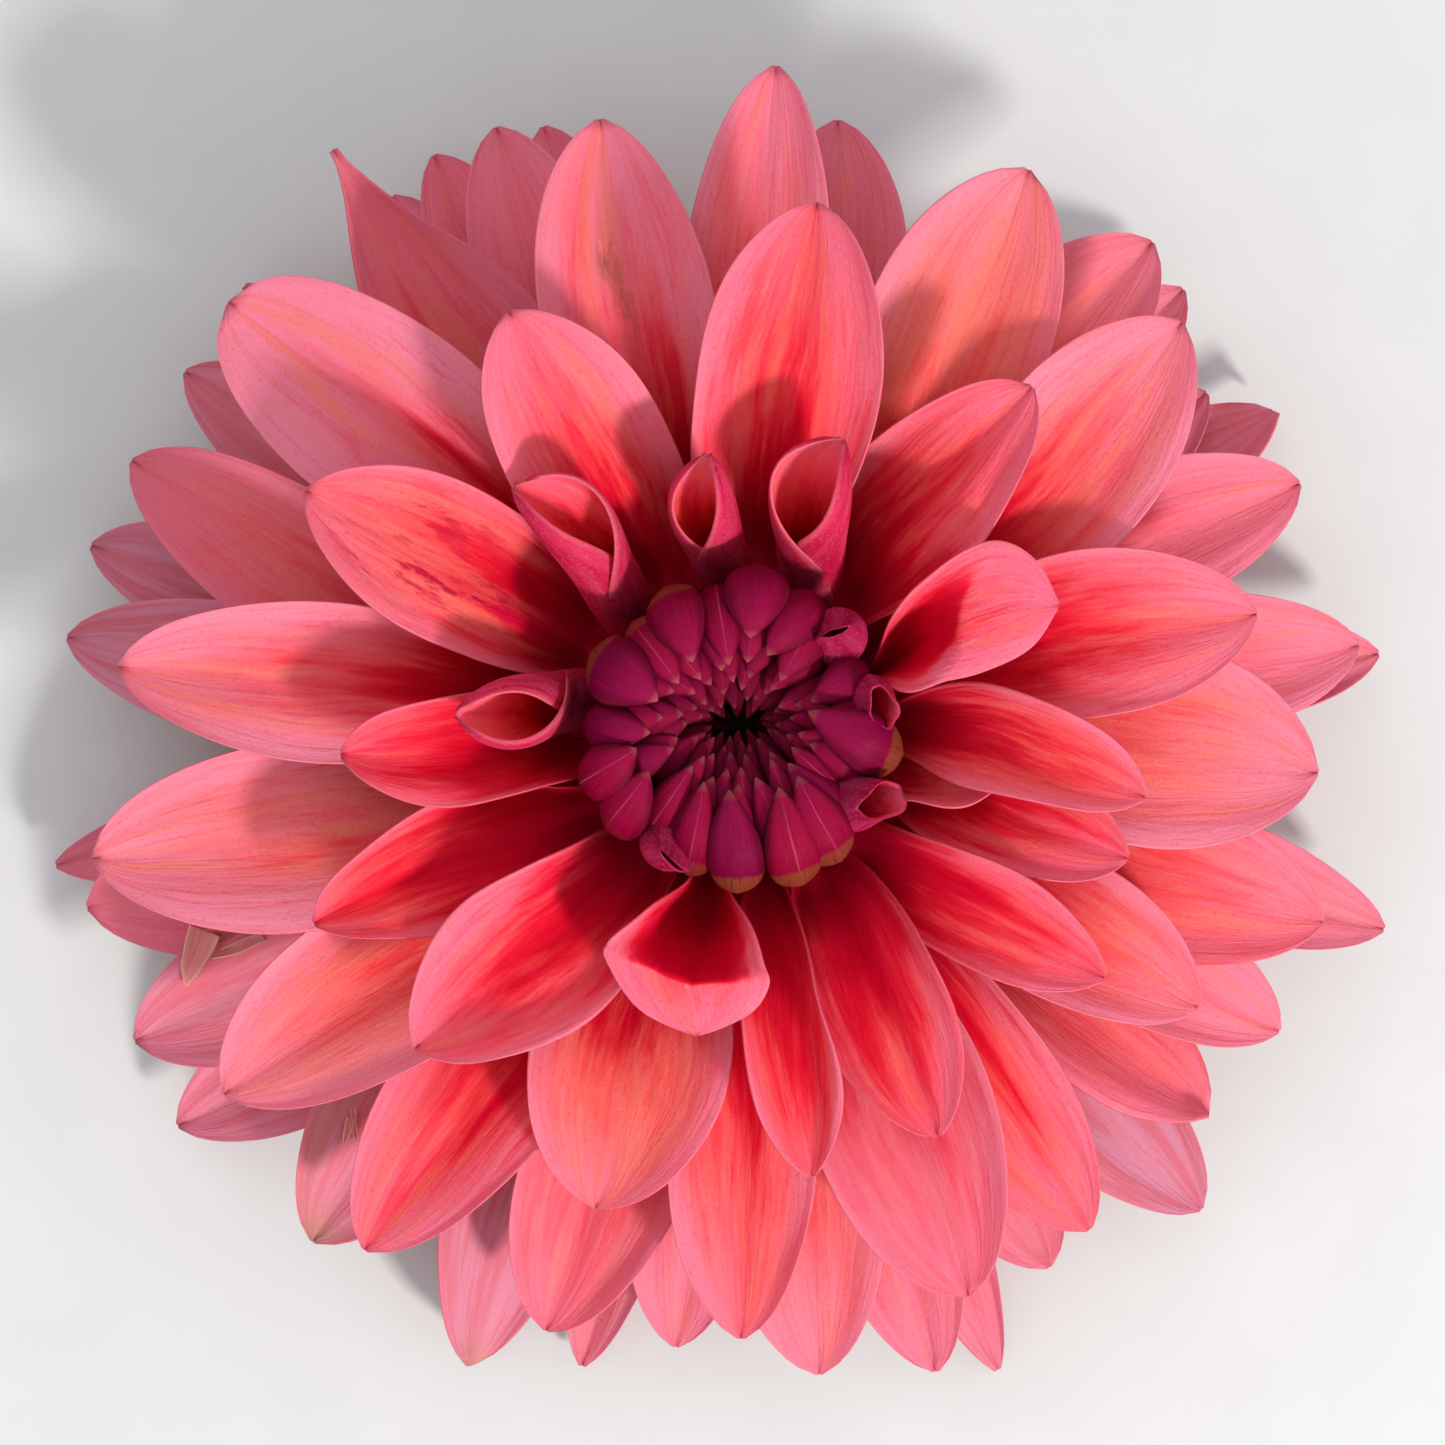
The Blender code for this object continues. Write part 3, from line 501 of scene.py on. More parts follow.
def outline(petal, u):
    """Share of the petal's full width at u: a narrow claw, then a broad blade with a blunt point."""
    widening = np.sin(np.clip(u / petal.wide_at, 0, 1) * math.pi / 2) ** OPENING_POWER
    opening = petal.claw + (1 - petal.claw) * widening
    closing = np.clip((u - petal.wide_at) / (1 - petal.wide_at), 0, 1)
    return opening * (1 - closing**TIP_POWER) ** (petal.point * TIP_BLUNT)


def cup_at(petal, u):
    """Half the angle that the blade is curled through at u."""
    to_mid = petal.cup_root + (petal.cup_mid - petal.cup_root) * smooth(u / 0.5)
    to_tip = petal.cup_mid + (petal.cup_tip - petal.cup_mid) * smooth((u - 0.5) / 0.5)
    return np.radians(np.where(u < 0.5, to_mid, to_tip))


def blade(petal, u, v):
    """Points of the petal before it is laid down, for u along it and v from -1 to 1 across it."""
    points, along = midrib(petal, u)
    side = unit(np.cross(UP, along))
    above = np.cross(along, side)
    roll = np.radians(petal.twist + (petal.lean - petal.twist) * smooth(u))[:, None]
    side, above = side * np.cos(roll) + above * np.sin(roll), above * np.cos(roll) - side * np.sin(roll)
    half = np.maximum(petal.width / 2 * outline(petal, u), LEAST_HALF_WIDTH)
    cup = cup_at(petal, u) * np.where(v > 0, petal.cup_left, 1)
    tightest = half / TIGHTEST_CURL
    cup = np.clip(cup, -tightest, tightest)
    cup = np.where(np.abs(cup) < LEAST_CURL, LEAST_CURL, cup)
    bend = cup * np.abs(v)
    radius = half / cup
    drawn = radius * (1 + petal.spiral * v)
    across = np.sign(v) * drawn * np.sin(bend)
    lift = radius - drawn * np.cos(bend)
    return points + side * across[:, None] + above * lift[:, None]


def dropped(petal, u, v):
    """How far the petal is pressed down at u, v, read from its settled grid."""
    rows = np.clip(u, 0, 1) * (SETTLE_ALONG - 1)
    columns = (np.clip(v, -1, 1) + 1) / 2 * (SETTLE_ACROSS - 1)
    row = np.minimum(rows.astype(int), SETTLE_ALONG - 2)
    column = np.minimum(columns.astype(int), SETTLE_ACROSS - 2)
    a = rows - row
    b = columns - column
    drop = petal.drop
    near = drop[row, column] * (1 - b) + drop[row, column + 1] * b
    far = drop[row + 1, column] * (1 - b) + drop[row + 1, column + 1] * b
    return near * (1 - a) + far * a


def rail(points, u):
    """The smooth curve through points that lie evenly along u."""
    ends = np.array(points, float)
    at = u * (len(ends) - 1)
    piece = np.minimum(at.astype(int), len(ends) - 2)
    ends = np.concatenate([2 * ends[:1] - ends[1:2], ends, 2 * ends[-1:] - ends[-2:-1]])
    before, start, stop, after = (ends[piece + step] for step in range(4))
    t = (at - piece)[:, None]
    bend = 2 * before - 5 * start + 4 * stop - after
    return start + ((stop - before) * t + bend * t**2 + (3 * start - before - 3 * stop + after) * t**3) / 2


def railed(rails, u, v):
    """Points of a petal that is drawn between a midline and two margins, hollow across."""
    middle, left, right = (rail(points, u) for points in rails)
    side = np.where(v[:, None] > 0, left, right) - middle
    share = np.abs(v)[:, None]
    return middle + side * np.concatenate([share, share, share**RAIL_HOLLOW], axis=1)


def surface(petal, u, v):
    """Points of the petal where it lies, in millimetres."""
    if petal.rails:
        return railed(petal.rails, u, v)
    points = blade(petal, u, v)
    points[:, 2] -= dropped(petal, u, v)
    return points


def map_cells(points):
    """Row and column of the height map under each point."""
    cells = ((points[:, :2] + MAP_HALF) / MAP_CELL).astype(int)
    last = int(2 * MAP_HALF / MAP_CELL) - 1
    cells = np.clip(cells, 0, last)
    return cells[:, 0], cells[:, 1]


def map_radius():
    """Distance of every cell of the height map from the stem's axis."""
    size = int(2 * MAP_HALF / MAP_CELL)
    places = (np.arange(size) + 0.5) * MAP_CELL - MAP_HALF
    return np.hypot(places[:, None], places[None, :])


def empty_ceiling():
    """A height map with nothing over it except the heart's underside."""
    radius = map_radius()
    underside = HEART_UNDERSIDE_Z + HEART_FLARE * np.maximum(radius - HEART_BASE_RADIUS, 0) ** 2
    return np.where(radius < HEART_RADIUS, underside, np.inf)


def lower_over_core(ceiling):
    """Adds the core's flat underside to the ceiling, for the bracts that lie below it."""
    base_r, base_z = CORE_PROFILE[-2]
    over = map_radius() < base_r + CORE_MARGIN
    ceiling[over] = np.minimum(ceiling[over], base_z)


def spread_out(need):
    """The least smooth hump that is nowhere less than need."""
    u = np.linspace(0, 1, SETTLE_ALONG)
    v = np.linspace(-1, 1, SETTLE_ACROSS)
    along = np.exp(-(((u[:, None] - u[None, :]) / SPREAD_ALONG) ** 2))
    across = np.exp(-(((v[:, None] - v[None, :]) / SPREAD_ACROSS) ** 2))
    wide = (need[:, None, :] * across[None, :, :]).max(axis=2)
    return (wide[None, :, :] * along[:, :, None]).max(axis=1)


def settle(petal, ceiling):
    """Lays a petal under everything in the ceiling and over the surface."""
    u, v = grid(np.linspace(0, 1, SETTLE_ALONG), np.linspace(-1, 1, SETTLE_ACROSS))
    petal.drop = np.zeros(u.shape)
    points = blade(petal, u.ravel(), v.ravel())
    height = points[:, 2].reshape(u.shape)
    over = ceiling[map_cells(points)].reshape(u.shape)
    lowest = FLOOR_CLEARANCE + PETAL_THICKNESS / 2
    held = smooth(u / ROOT_HELD)
    for _ in range(SETTLE_ROUNDS):
        need = np.maximum(height - petal.drop + PETAL_CLEARANCE + PETAL_THICKNESS - over, 0)
        petal.drop += spread_out(need * held) * held
        petal.drop -= spread_out(np.maximum(lowest - height + petal.drop, 0))


def add_to_ceiling(petal, ceiling):
    """Lowers the ceiling to the petal's underside wherever it lies."""
    u, v = grid(np.linspace(FIRST_MARK, 1, MARKS_ALONG), np.linspace(-1, 1, MARKS_ACROSS))
    points = surface(petal, u.ravel(), v.ravel())
    for shift_x in (-MARK_REACH, MARK_REACH):
        for shift_y in (-MARK_REACH, MARK_REACH):
            nudged = points[:, :2] + np.array([shift_x, shift_y]) * MAP_CELL
            np.minimum.at(ceiling, map_cells(nudged), points[:, 2] - PETAL_THICKNESS / 2)


def settled_whorls():
    """All petals and bracts by whorl, laid from the topmost down."""
    whorls = {
        "rolled_petals": petals_of(ROLLED, ROLLED_PETALS),
        "second_petals": petals_of(SECOND, SECOND_PETALS),
        "third_petals": petals_of(THIRD, THIRD_PETALS),
        "fourth_petals": petals_of(FOURTH, FOURTH_PETALS),
        "fifth_petals": petals_of(FIFTH, FIFTH_PETALS),
        "back_petals": petals_of(UNDERLAYER, underlayer_rows()),
        "papery": petals_of(PAPERY, bract_rows(*PAPERY_BRACTS)),
        "leafy": petals_of(LEAFY, bract_rows(*LEAFY_BRACTS)),
    }
    ceiling = empty_ceiling()
    for name, petals in whorls.items():
        if name == "papery":
            lower_over_core(ceiling)
        for petal in petals:
            if not petal.rails:
                settle(petal, ceiling)
            add_to_ceiling(petal, ceiling)
    return whorls


def together(*parts):
    """Rows of numbers from their parts, each for all points or one number."""
    return np.stack(np.broadcast_arrays(*parts), axis=-1)


def tube(points, **layers):
    """A closed solid from rows of points that each run once round it, with its bake map."""
    rows, around = points.shape[:2]
    index = np.arange(rows * around).reshape(rows, around)
    here = index[:-1]
    after = index[1:]
    column, row = np.meshgrid(np.arange(around), np.arange(rows - 1))
    wall_x = together(column, column + 1, column + 1, column) / around
    wall_y = together(row, row, row + 1, row + 1) / (rows - 1) * CHART_WALLS
    faces = [together(here, np.roll(here, -1, 1), np.roll(after, -1, 1), after).reshape(-1, 4)]
    maps = [together(wall_x, wall_y).reshape(-1, 4, 2)]
    pair = np.arange(around // 2 - 1)
    across = together(pair, pair + 1, around - 2 - pair, around - 1 - pair)
    for ring, first in ((index[0], 0.0), (index[-1], 0.5)):
        strip_x = together(pair, pair + 1, pair + 1, pair) / around + first
        faces.append(ring[across])
        maps.append(together(strip_x, 1 - (1 - CHART_WALLS) * np.array(CHART_ENDS)))
    return SimpleNamespace(
        points=points.reshape(-1, 3),
        faces=np.concatenate(faces),
        maps=np.concatenate(maps),
        layers={name: np.broadcast_to(layers.get(name, 0.0), points.shape).reshape(-1, 3) for name in LAYERS},
    )


def relief(petal, u, v, chance):
    """How far the blade stands off its smooth form: pleats, a groove on the midline, wavy rims."""
    turn = chance.uniform(0, 2 * math.pi, 5)
    grown = smooth(u / 0.35) * smooth((1.02 - u) / 0.2)
    pleats = PLEAT * np.cos(2 * math.pi * (PLEATS_ACROSS * v + PLEATS_ALONG * u) + turn[0])
    ribs = RIB * np.cos(2 * math.pi * (RIBS_ACROSS * v + 0.5 * np.sin(3 * u + turn[1])) + turn[2])
    waves = RIM_WAVE * np.abs(v) ** 3
    waves = waves * np.sin(2 * math.pi * WAVES_ALONG * u + np.where(v > 0, turn[3], turn[4]))
    groove = -GROOVE * np.exp(-((v / GROOVE_WIDTH) ** 2)) * smooth(u / 0.5)
    keel = KEEL + KEEL_TIP * smooth((u - 0.6) / 0.4)
    keel = keel * (np.sqrt(v**2 + KEEL_ROUND) - 0.5) * smooth(u / 0.4)
    return petal.soft * ((pleats + ribs + waves) * grown + groove + keel * outline(petal, u))


def normals_of(points):
    """Unit normals of a grid of points, up where the grid runs out along u and left along v."""
    along = np.gradient(points, axis=0)
    across = np.gradient(points, axis=1)
    return unit(np.cross(along, across) + 1e-12)


def both_sides(front, back):
    """A sheet's front from margin to margin, then its back from there to the first margin."""
    return np.concatenate([front, back[:, ::-1]], axis=1)


def petal_solid(petal, seed):
    """A petal as a thin closed sheet."""
    chance = np.random.default_rng(seed)
    steps = np.linspace(-1, 1, COLUMNS + 1)
    rims = np.sign(steps) * (1 - (1 - np.abs(steps)) ** RIM_FINENESS)
    u, v = grid(np.linspace(0, 1, ROWS + 1), rims)
    points = surface(petal, u.ravel(), v.ravel()).reshape(*u.shape, 3)
    normals = normals_of(points)
    points = points + normals * relief(petal, u, v, chance)[..., None]
    half = normals * (SHEET_RIM + (SHEET_MIDDLE - SHEET_RIM) * (1 - v**2))[..., None] / 2
    sheet = both_sides(points + half, points - half)
    sheet[..., 2] = np.maximum(sheet[..., 2], LOWEST)
    place = together(u, v, chance.uniform(0, 1))
    faded = petal.fade * chance.uniform(0.8, 1.2)
    hue = chance.uniform(*HUES) if petal.hue is None else petal.hue
    flame = petal.flame + petal.dart * np.exp(-(((v - petal.dart_at) / DART_WIDTH) ** 2))
    # Behind the fold the throat is redder and darker: partly its own red, partly painted shade.
    behind_fold = 1 - smooth((u - petal.fold - petal.fold_turn * v) / FOLD_BLEND)
    flame = flame + petal.shade * behind_fold * (1 - v**2)
    mark = np.zeros((*u.shape, len(MARKS)))
    for kind, at_u, at_v, half_u, half_v, strength in petal.marks:
        patch = np.exp(-(((u - at_u) / half_u) ** 2) - ((v - at_v) / half_v) ** 2)
        mark[..., MARKS.index(kind)] += strength * patch
    return tube(
        sheet,
        place=both_sides(place, place),
        tone=both_sides(together(flame, petal.mauve, 0), together(flame, petal.mauve, 1)),
        mark=both_sides(mark, mark),
        tint=(faded, hue, petal.deep),
    )


def torn_petal(path):
    """A torn strip as a narrow petal, drawn along a path of places and half widths."""
    ends = np.array(path)
    middle, half = ends[:, :3], ends[:, 3:]
    side = unit(np.cross(UP, np.gradient(middle, axis=0))) * half
    lift = UP * half * TORN_CURL
    rails = (middle, middle + side + lift, middle - side + lift)
    return SimpleNamespace(**{**TORN, "rails": rails})


def round_grid(rows, around):
    """A share along a body and an angle round it, for each point of a grid."""
    angles = np.linspace(0, 2 * math.pi, around, endpoint=False)
    return grid(np.linspace(0, 1, rows), angles)


def floret_solid(row, seed):
    """A closed floret: a flat-backed wedge that bends in over the heart to its blunt tip."""
    outer_azimuth, outer, tip_azimuth, tip, width, root_z, tip_z, cap = row
    chance = np.random.default_rng(seed)
    out = heading(outer_azimuth)
    path = (
        out * (outer - FLORET_ROOT_IN) + UP * root_z,
        out * (outer + FLORET_BULGE) + UP * (root_z + FLORET_BULGE),
        out * (outer + 0.2) + UP * (tip_z + 0.6),
        heading(tip_azimuth) * tip + UP * tip_z,
    )
    t, angle = round_grid(FLORET_ROWS + 1, FLORET_AROUND)
    centre, along = cubic(path, t[..., None])
    side = np.cross(UP, out) + np.zeros(centre.shape)
    side = unit(side - along * (side * along).sum(axis=-1, keepdims=True))
    back = np.cross(side, along)
    swell = 0.25 + 0.75 * smooth(t / FLORET_WIDEST) ** 1.4
    past = np.clip((t - FLORET_WIDEST) / (1 - FLORET_WIDEST), 0, 1)
    half = width / 2 * swell * np.maximum(1 - past**FLORET_NARROWS, 0.012) ** 0.8
    deep = FLORET_DEPTH * half * (1 - 0.3 * past)
    x, y = np.cos(angle), np.sin(angle)
    flat = np.where(y > 0, np.abs(y) ** (1 - 0.25 * past), -np.abs(y))
    flat = flat + FLORET_RIDGE * np.exp(-((x / 0.2) ** 2)) * (y > 0)
    lump = 1 + FLORET_LUMP * np.sin(3 * angle + 5 * t + chance.uniform(0, 6))
    points = centre + side * (half * x * lump)[..., None] + back * (deep * flat)[..., None]
    # How far down in the heart the floret lies, for painted shade that deepens there.
    sunk = (HEART_TOP_Z - centre[..., 2]) / HEART_DEPTH
    return tube(points, place=together(t, x, chance.uniform(0, 1)), tone=together(cap, y, sunk))


def cup_solid(row, seed):
    """A floret that has begun to open: up its outside, over the rim and down into the mouth."""
    azimuth, radius, half, top_z, lip_azimuth, lip, closing, pressed = row
    chance = np.random.default_rng(seed)
    turns = chance.uniform(0, 2 * math.pi, 2)
    s, angle = round_grid(CUP_ROWS + 1, CUP_AROUND)
    inside = s > 0.5
    height = np.where(inside, 2 - 2 * s, 2 * s)
    low_z = np.where(inside, top_z - CUP_PIT, CUP_ROOT_Z)
    off_lip = angle - math.radians(lip_azimuth)
    rim_z = top_z + CUP_RIM_WAVE * np.sin(2 * angle + turns[0])
    rim_z = rim_z - CUP_LIP_DROP * lip * np.maximum(np.cos(off_lip), 0) ** 2
    z = low_z + (rim_z - low_z) * height
    rise = (z - CUP_ROOT_Z) / (top_z - CUP_ROOT_Z)
    near_rim = smooth((rise - 0.62) / 0.38)
    creased = 1 + CUP_CREASE * np.cos(5 * angle + turns[1]) * near_rim
    body = half * (0.5 + 0.5 * smooth(rise / 0.6)) * (1 - near_rim * closing) * creased
    body = np.where(inside, np.maximum(body - CUP_WALL, 0.15) * smooth(0.15 + height), body)
    centre = heading(azimuth) * (radius - CUP_LEAN * (1 - rise))[..., None]
    centre = centre + heading(lip_azimuth) * (lip * half * near_rim)[..., None]
    ahead = (body * np.cos(off_lip))[..., None] * heading(lip_azimuth)
    slim = (1 - pressed * near_rim) * np.abs(np.sin(off_lip)) ** (CUP_POINTED * near_rim)
    aside = (body * np.sin(off_lip) * slim)[..., None] * heading(lip_azimuth + 90)
    points = centre + ahead + aside + UP * z[..., None]
    place = together(height, 0.8 * np.cos(angle), chance.uniform(0, 1))
    return tube(points, place=place, tone=together(0.9, 0, np.where(inside, 0, 1)))


def inner_florets():
    """The smaller closed florets inside the rim, in rings that sink toward the hollow."""
    chance = np.random.default_rng(HEART_SEED)
    x, y, half_x, half_y = HOLLOW
    rows = []
    for count, outer, off, width, root_z, tip_z, first in INNER_RINGS:
        for number in range(count):
            azimuth = first + 360 / count * number + chance.uniform(-5, 5)
            turn = math.radians(azimuth + chance.uniform(-9, 9))
            off_here = off + chance.uniform(-0.5, 0.5)
            tip_x = x + (half_x + off_here) * math.cos(turn)
            tip_y = y + (half_y + off_here) * math.sin(turn)
            rows.append((
                azimuth, outer + chance.uniform(-0.3, 0.3), math.degrees(math.atan2(tip_y, tip_x)),
                math.hypot(tip_x, tip_y), width * chance.uniform(0.9, 1.1),
                root_z, tip_z + chance.uniform(-0.5, 0.5), 0.0,
            ))
    return rows


def turned_solid(profile, around, rows, bumps, seed):
    """A body turned round the stem, with soft bumps."""
    ends = np.array(profile, float)
    length = np.concatenate([[0], np.cumsum(np.linalg.norm(np.diff(ends, axis=0), axis=1))])
    turn = np.random.default_rng(seed).uniform(0, 2 * math.pi, 4)
    share, angle = round_grid(rows, around)
    at = share * length[-1]
    radius = np.maximum(np.interp(at, length, ends[:, 0]), 0.02)
    wide = radius * (1 + bumps * (np.sin(9 * angle + turn[0]) + 0.6 * np.sin(14 * angle + turn[1])))
    height = np.interp(at, length, ends[:, 1])
    points = together(wide * np.cos(angle), wide * np.sin(angle), height)
    place = together(share, angle / (2 * math.pi), 0)
    return tube(points, place=place, tone=together(wide / radius.max(), 0, 0))


def add_piece(name, solids, look, node):
    """Joins solids into one piece that stands for a node, each with its own cell on the bake map."""
    first = np.cumsum([0] + [len(solid.points) for solid in solids])
    points = np.concatenate([solid.points for solid in solids])
    points = (points + np.array([STEM_X, STEM_Y, 0.0])) * MM
    faces = np.concatenate([solid.faces + start for solid, start in zip(solids, first)])
    cells = math.ceil(math.sqrt(len(solids)))
    maps = []
    for number, solid in enumerate(solids):
        corner = np.array([number % cells, number // cells]) + CHART_GAP
        maps.append((corner + solid.maps * (1 - 2 * CHART_GAP)) / cells)
    mesh = bpy.data.meshes.new(name)
    mesh.from_pydata(points.tolist(), [], faces.tolist())
    chart = mesh.uv_layers.new(name="OFBake")
    chart.data.foreach_set("uv", np.concatenate(maps).reshape(-1))
    for layer in LAYERS:
        numbers = np.concatenate([solid.layers[layer] for solid in solids])
        attribute = mesh.attributes.new(layer, "FLOAT_VECTOR", "POINT")
        attribute.data.foreach_set("vector", numbers.astype(np.float32).ravel())
    work = bmesh.new()
    work.from_mesh(mesh)
    bmesh.ops.recalc_face_normals(work, faces=work.faces[:])
    work.to_mesh(mesh)
    work.free()
    mesh.shade_smooth()
    mesh.materials.append(look)
    piece = bpy.data.objects.new(name, mesh)
    bpy.context.scene.collection.objects.link(piece)
    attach(piece, "root")
    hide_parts(node)


class Value:
    """What a node gives at each point, for use in ordinary arithmetic."""

    def __init__(self, look, socket):
        self.look = look
        self.socket = socket

    def __add__(self, other):
        return self.look.maths("ADD", self, other)

    def __sub__(self, other):
        return self.look.maths("SUBTRACT", self, other)

    def __mul__(self, other):
        return self.look.maths("MULTIPLY", self, other)

    def __truediv__(self, other):
        return self.look.maths("DIVIDE", self, other)

    def __abs__(self):
        return self.look.maths("ABSOLUTE", self)


class Look:
    """A procedural material, with short ways to add its nodes."""

    def __init__(self, name, roughness, **sockets):
        self.material = bpy.data.materials.new(name)
        self.material.use_nodes = True
        self.tree = self.material.node_tree
        self.shader = self.tree.nodes["Principled BSDF"]
        for socket, value in dict(sockets, Roughness=roughness).items():
            self.put(self.shader.inputs[socket.replace("_", " ")], value)

    def put(self, socket, value):
        """Links a value to a socket, or writes it there."""
        if isinstance(value, Value):
            self.tree.links.new(value.socket, socket)
        elif socket.type == "RGBA":
            socket.default_value = (*value, 1)
        else:
            socket.default_value = value

    def add(self, kind, inputs, output=0, **settings):
        """What a new node gives from its inputs, with its settings."""
        node = self.tree.nodes.new("ShaderNode" + kind)
        for name, setting in settings.items():
            setattr(node, name, setting)
        for name, value in inputs.items():
            self.put(node.inputs[name], value)
        return Value(self, node.outputs[output])

    def split(self, layer):
        """The three numbers of a layer that the mesh carries."""
        vector = self.add("Attribute", {}, "Vector", attribute_name=layer)
        return [self.add("SeparateXYZ", {0: vector}, part) for part in "XYZ"]

    def maths(self, operation, first, second=0):
        """One step of arithmetic."""
        return self.add("Math", {0: first, 1: second}, operation=operation)

    def step(self, value, low, high, start=0, stop=1):
        """A smooth step of value from start at low to stop at high."""
        inputs = {"Value": value, "From Min": low, "From Max": high, "To Min": start, "To Max": stop}
        return self.add("MapRange", inputs, interpolation_type="SMOOTHSTEP")

    def noise(self, x, y, z, cells, detail=2, roughness=0.5):
        """Noise with so many cells to one step of x and of y, and one to a step of z."""
        place = self.add("CombineXYZ", {"X": x * cells[0], "Y": y * cells[1], "Z": z})
        return self.add("TexNoise", {"Vector": place, "Scale": 1, "Detail": detail, "Roughness": roughness})

    def grain(self, scale, detail=3):
        """Fine noise in space."""
        place = self.add("TexCoord", {}, "Object")
        return self.add("TexNoise", {"Vector": place, "Scale": scale, "Detail": detail})

    def lines(self, noise, half_width, strength=1):
        """Thin lines where noise crosses its mean."""
        return self.step(abs(noise - 0.5), 0, half_width, strength, 0)

    def mix(self, amount, first, second):
        """One colour over another."""
        return self.add("Mix", {"Factor": amount, 6: first, 7: second}, 2, data_type="RGBA")

    def paint(self, colour, *layers):
        """A colour under layers, each an amount and a colour, from the lowest up."""
        for amount, tint in layers:
            colour = self.mix(amount, colour, tint)
        return colour

    def finish(self, colour, height, depth, roughness=None):
        """Connects colour, bump (depth in metres) and roughness, and gives the material."""
        self.put(self.shader.inputs["Base Color"], colour)
        normal = self.add("Bump", {"Strength": 1, "Distance": depth, "Height": height})
        self.put(self.shader.inputs["Normal"], normal)
        if roughness is not None:
            self.put(self.shader.inputs["Roughness"], roughness)
        return self.material


def petal_look(name, colours):
    """Petals: soft streaks run to the tip, with a red flame from the throat."""
    tints = SimpleNamespace(**colours)
    look = Look(
        name, 0.55, Specular_IOR_Level=0.03, Subsurface_Weight=0.35, Subsurface_Scale=0.001,
        Subsurface_Radius=(1, 0.15, 0.15),
    )
    step, noise, mix, paint = look.step, look.noise, look.mix, look.paint
    u, v, seed = look.split("place")
    flame, mauve, back = look.split("tone")
    scar_and_shade, blotch_and_shade, wither = look.split("mark")
    fade, hue, deep = look.split("tint")
    own = seed * 37
    side = abs(v)
    across = v + (noise(v, u, own, (1.5, 2.5)) - 0.5) * 0.3
    broad = noise(across, u, own, (2.2, 1.6), 3, 0.55)
    streaks = noise(across, u, own + 5, (5.2, 3), 4, 0.6)
    threads = noise(across, u, own + 9, (15, 8), 4, 0.65)
    flecks = noise(v, u, own + 3, (9, 14), 4, 0.7)
    blots = noise(v, u, own + 2, (6.5, 7), 4, 0.65)
    veins = look.lines(noise(across, u, own + 13, (4.6, 0.8)), 0.055)
    speckle = look.grain(2600, 4)

    warm = mix(fade, tints.warm, tints.faded_warm)
    margin = mix(step(fade, 0, 0.8), tints.margin, tints.faded_margin)
    faded = mix(step(broad, 0.36, 0.6), tints.faded, tints.faded_rosy)
    toward_rim = look.maths("MAXIMUM", step(side, 0.15, 0.9), step(u, 0.6, 0.98))
    colour = paint(
        mix(step(broad, 0.32, 0.64), tints.body, tints.rosy),
        (fade * step(broad, 0.3, 0.65, 0.75, 1.1) * step(u, 0.3, 0.75, 0.5, 1), faded),
        (toward_rim * step(broad, 0.25, 0.55, 0.5, 0.95), margin),
        (step(hue, 0, 1) * step(u, 1, 0.7, 0.3, 0.85) * step(side, 1, 0.5), warm),
        (step(hue, 0, -1, 0, 0.8), margin),
        (step(streaks, 0.47, 0.62, 0, 0.6) * step(side, 0.25, 0.95, 1, 0.15), warm),
        (step(threads, 0.5, 0.68, 0, 0.3) * step(u, 0.2, 0.7, 0.3, 1), tints.pale),
        (step(threads, 0.5, 0.34) * step(streaks, 0.56, 0.42) * step(u, 1, 0.5, 0, 0.5), tints.ruddy),
        (veins * step(u, 0.3, 0.6, 0, 0.16), tints.ruddy),
        (step(speckle, 0.55, 0.72, 0, 0.25), tints.pale),
        (step(speckle, 0.45, 0.28, 0, 0.25), tints.red),
    )

    ragged = (streaks - 0.5) * 0.85 + (broad - 0.5) * 0.9 + (threads - 0.5) * 0.28
    ragged = ragged * step(fade, 0, 1, 1, 0.6)
    reach = (u + ragged + side * side * 0.42) / (flame + 0.02)
    colour = paint(
        colour,
        (step(reach, 0.7, 1.6, 0.55, 0), tints.ruddy),
        (step(reach, 0.55, 1.08, 0.9, 0), tints.red),
        (step(reach, 0.3, 0.95, 1, 0), tints.throat),
        # Darker root: partly its own crimson, partly painted shade by the heart.
        (deep * step(u, 0.12, 0.5, 0.85, 0), tints.deep),
        (mauve * step(u, 0.2, 0.8, 0.3, 1), mix(step(streaks, 0.4, 0.6), tints.dull, tints.lilac)),
    )

    behind = paint(
        mix(step(streaks, 0.35, 0.65), tints.behind, tints.behind_pale),
        (step(speckle, 0.52, 0.7, 0, 0.3), tints.margin),
        (step(u, 0.05, 0.75, 0.95, 0), tints.behind_root),
        (mauve * 0.5, tints.dull),
    )
    colour = paint(
        colour,
        (back, behind),
        # Painted highlight: a pale line along the rims.
        (step(side, 0.9, 0.985) * step(u, 0.2, 0.5, 0, 0.22), tints.pale),
        # Darker at the very tip, by the midline.
        (step(u, 0.965, 1) * step(side, 0.5, 0.1, 0, 0.24), tints.stain),
        # Blotches, and painted shade along a crease.
        (blotch_and_shade * step(blots, 0.5, 0.6) * step(flecks, 0.3, 0.55, 0.27, 0.9), tints.stain),
        (wither, WITHERED),
        # Scars, and painted shade in a gap.
        (scar_and_shade * step(flecks, 0.34, 0.62), SCARRED_AND_SHADED),
    )
    height = threads * 0.7 + streaks * 0.5 + speckle * 0.3 - veins * 0.1
    return look.finish(colour, height, depth=0.00026, roughness=step(streaks, 0.2, 0.8, 0.48, 0.66))


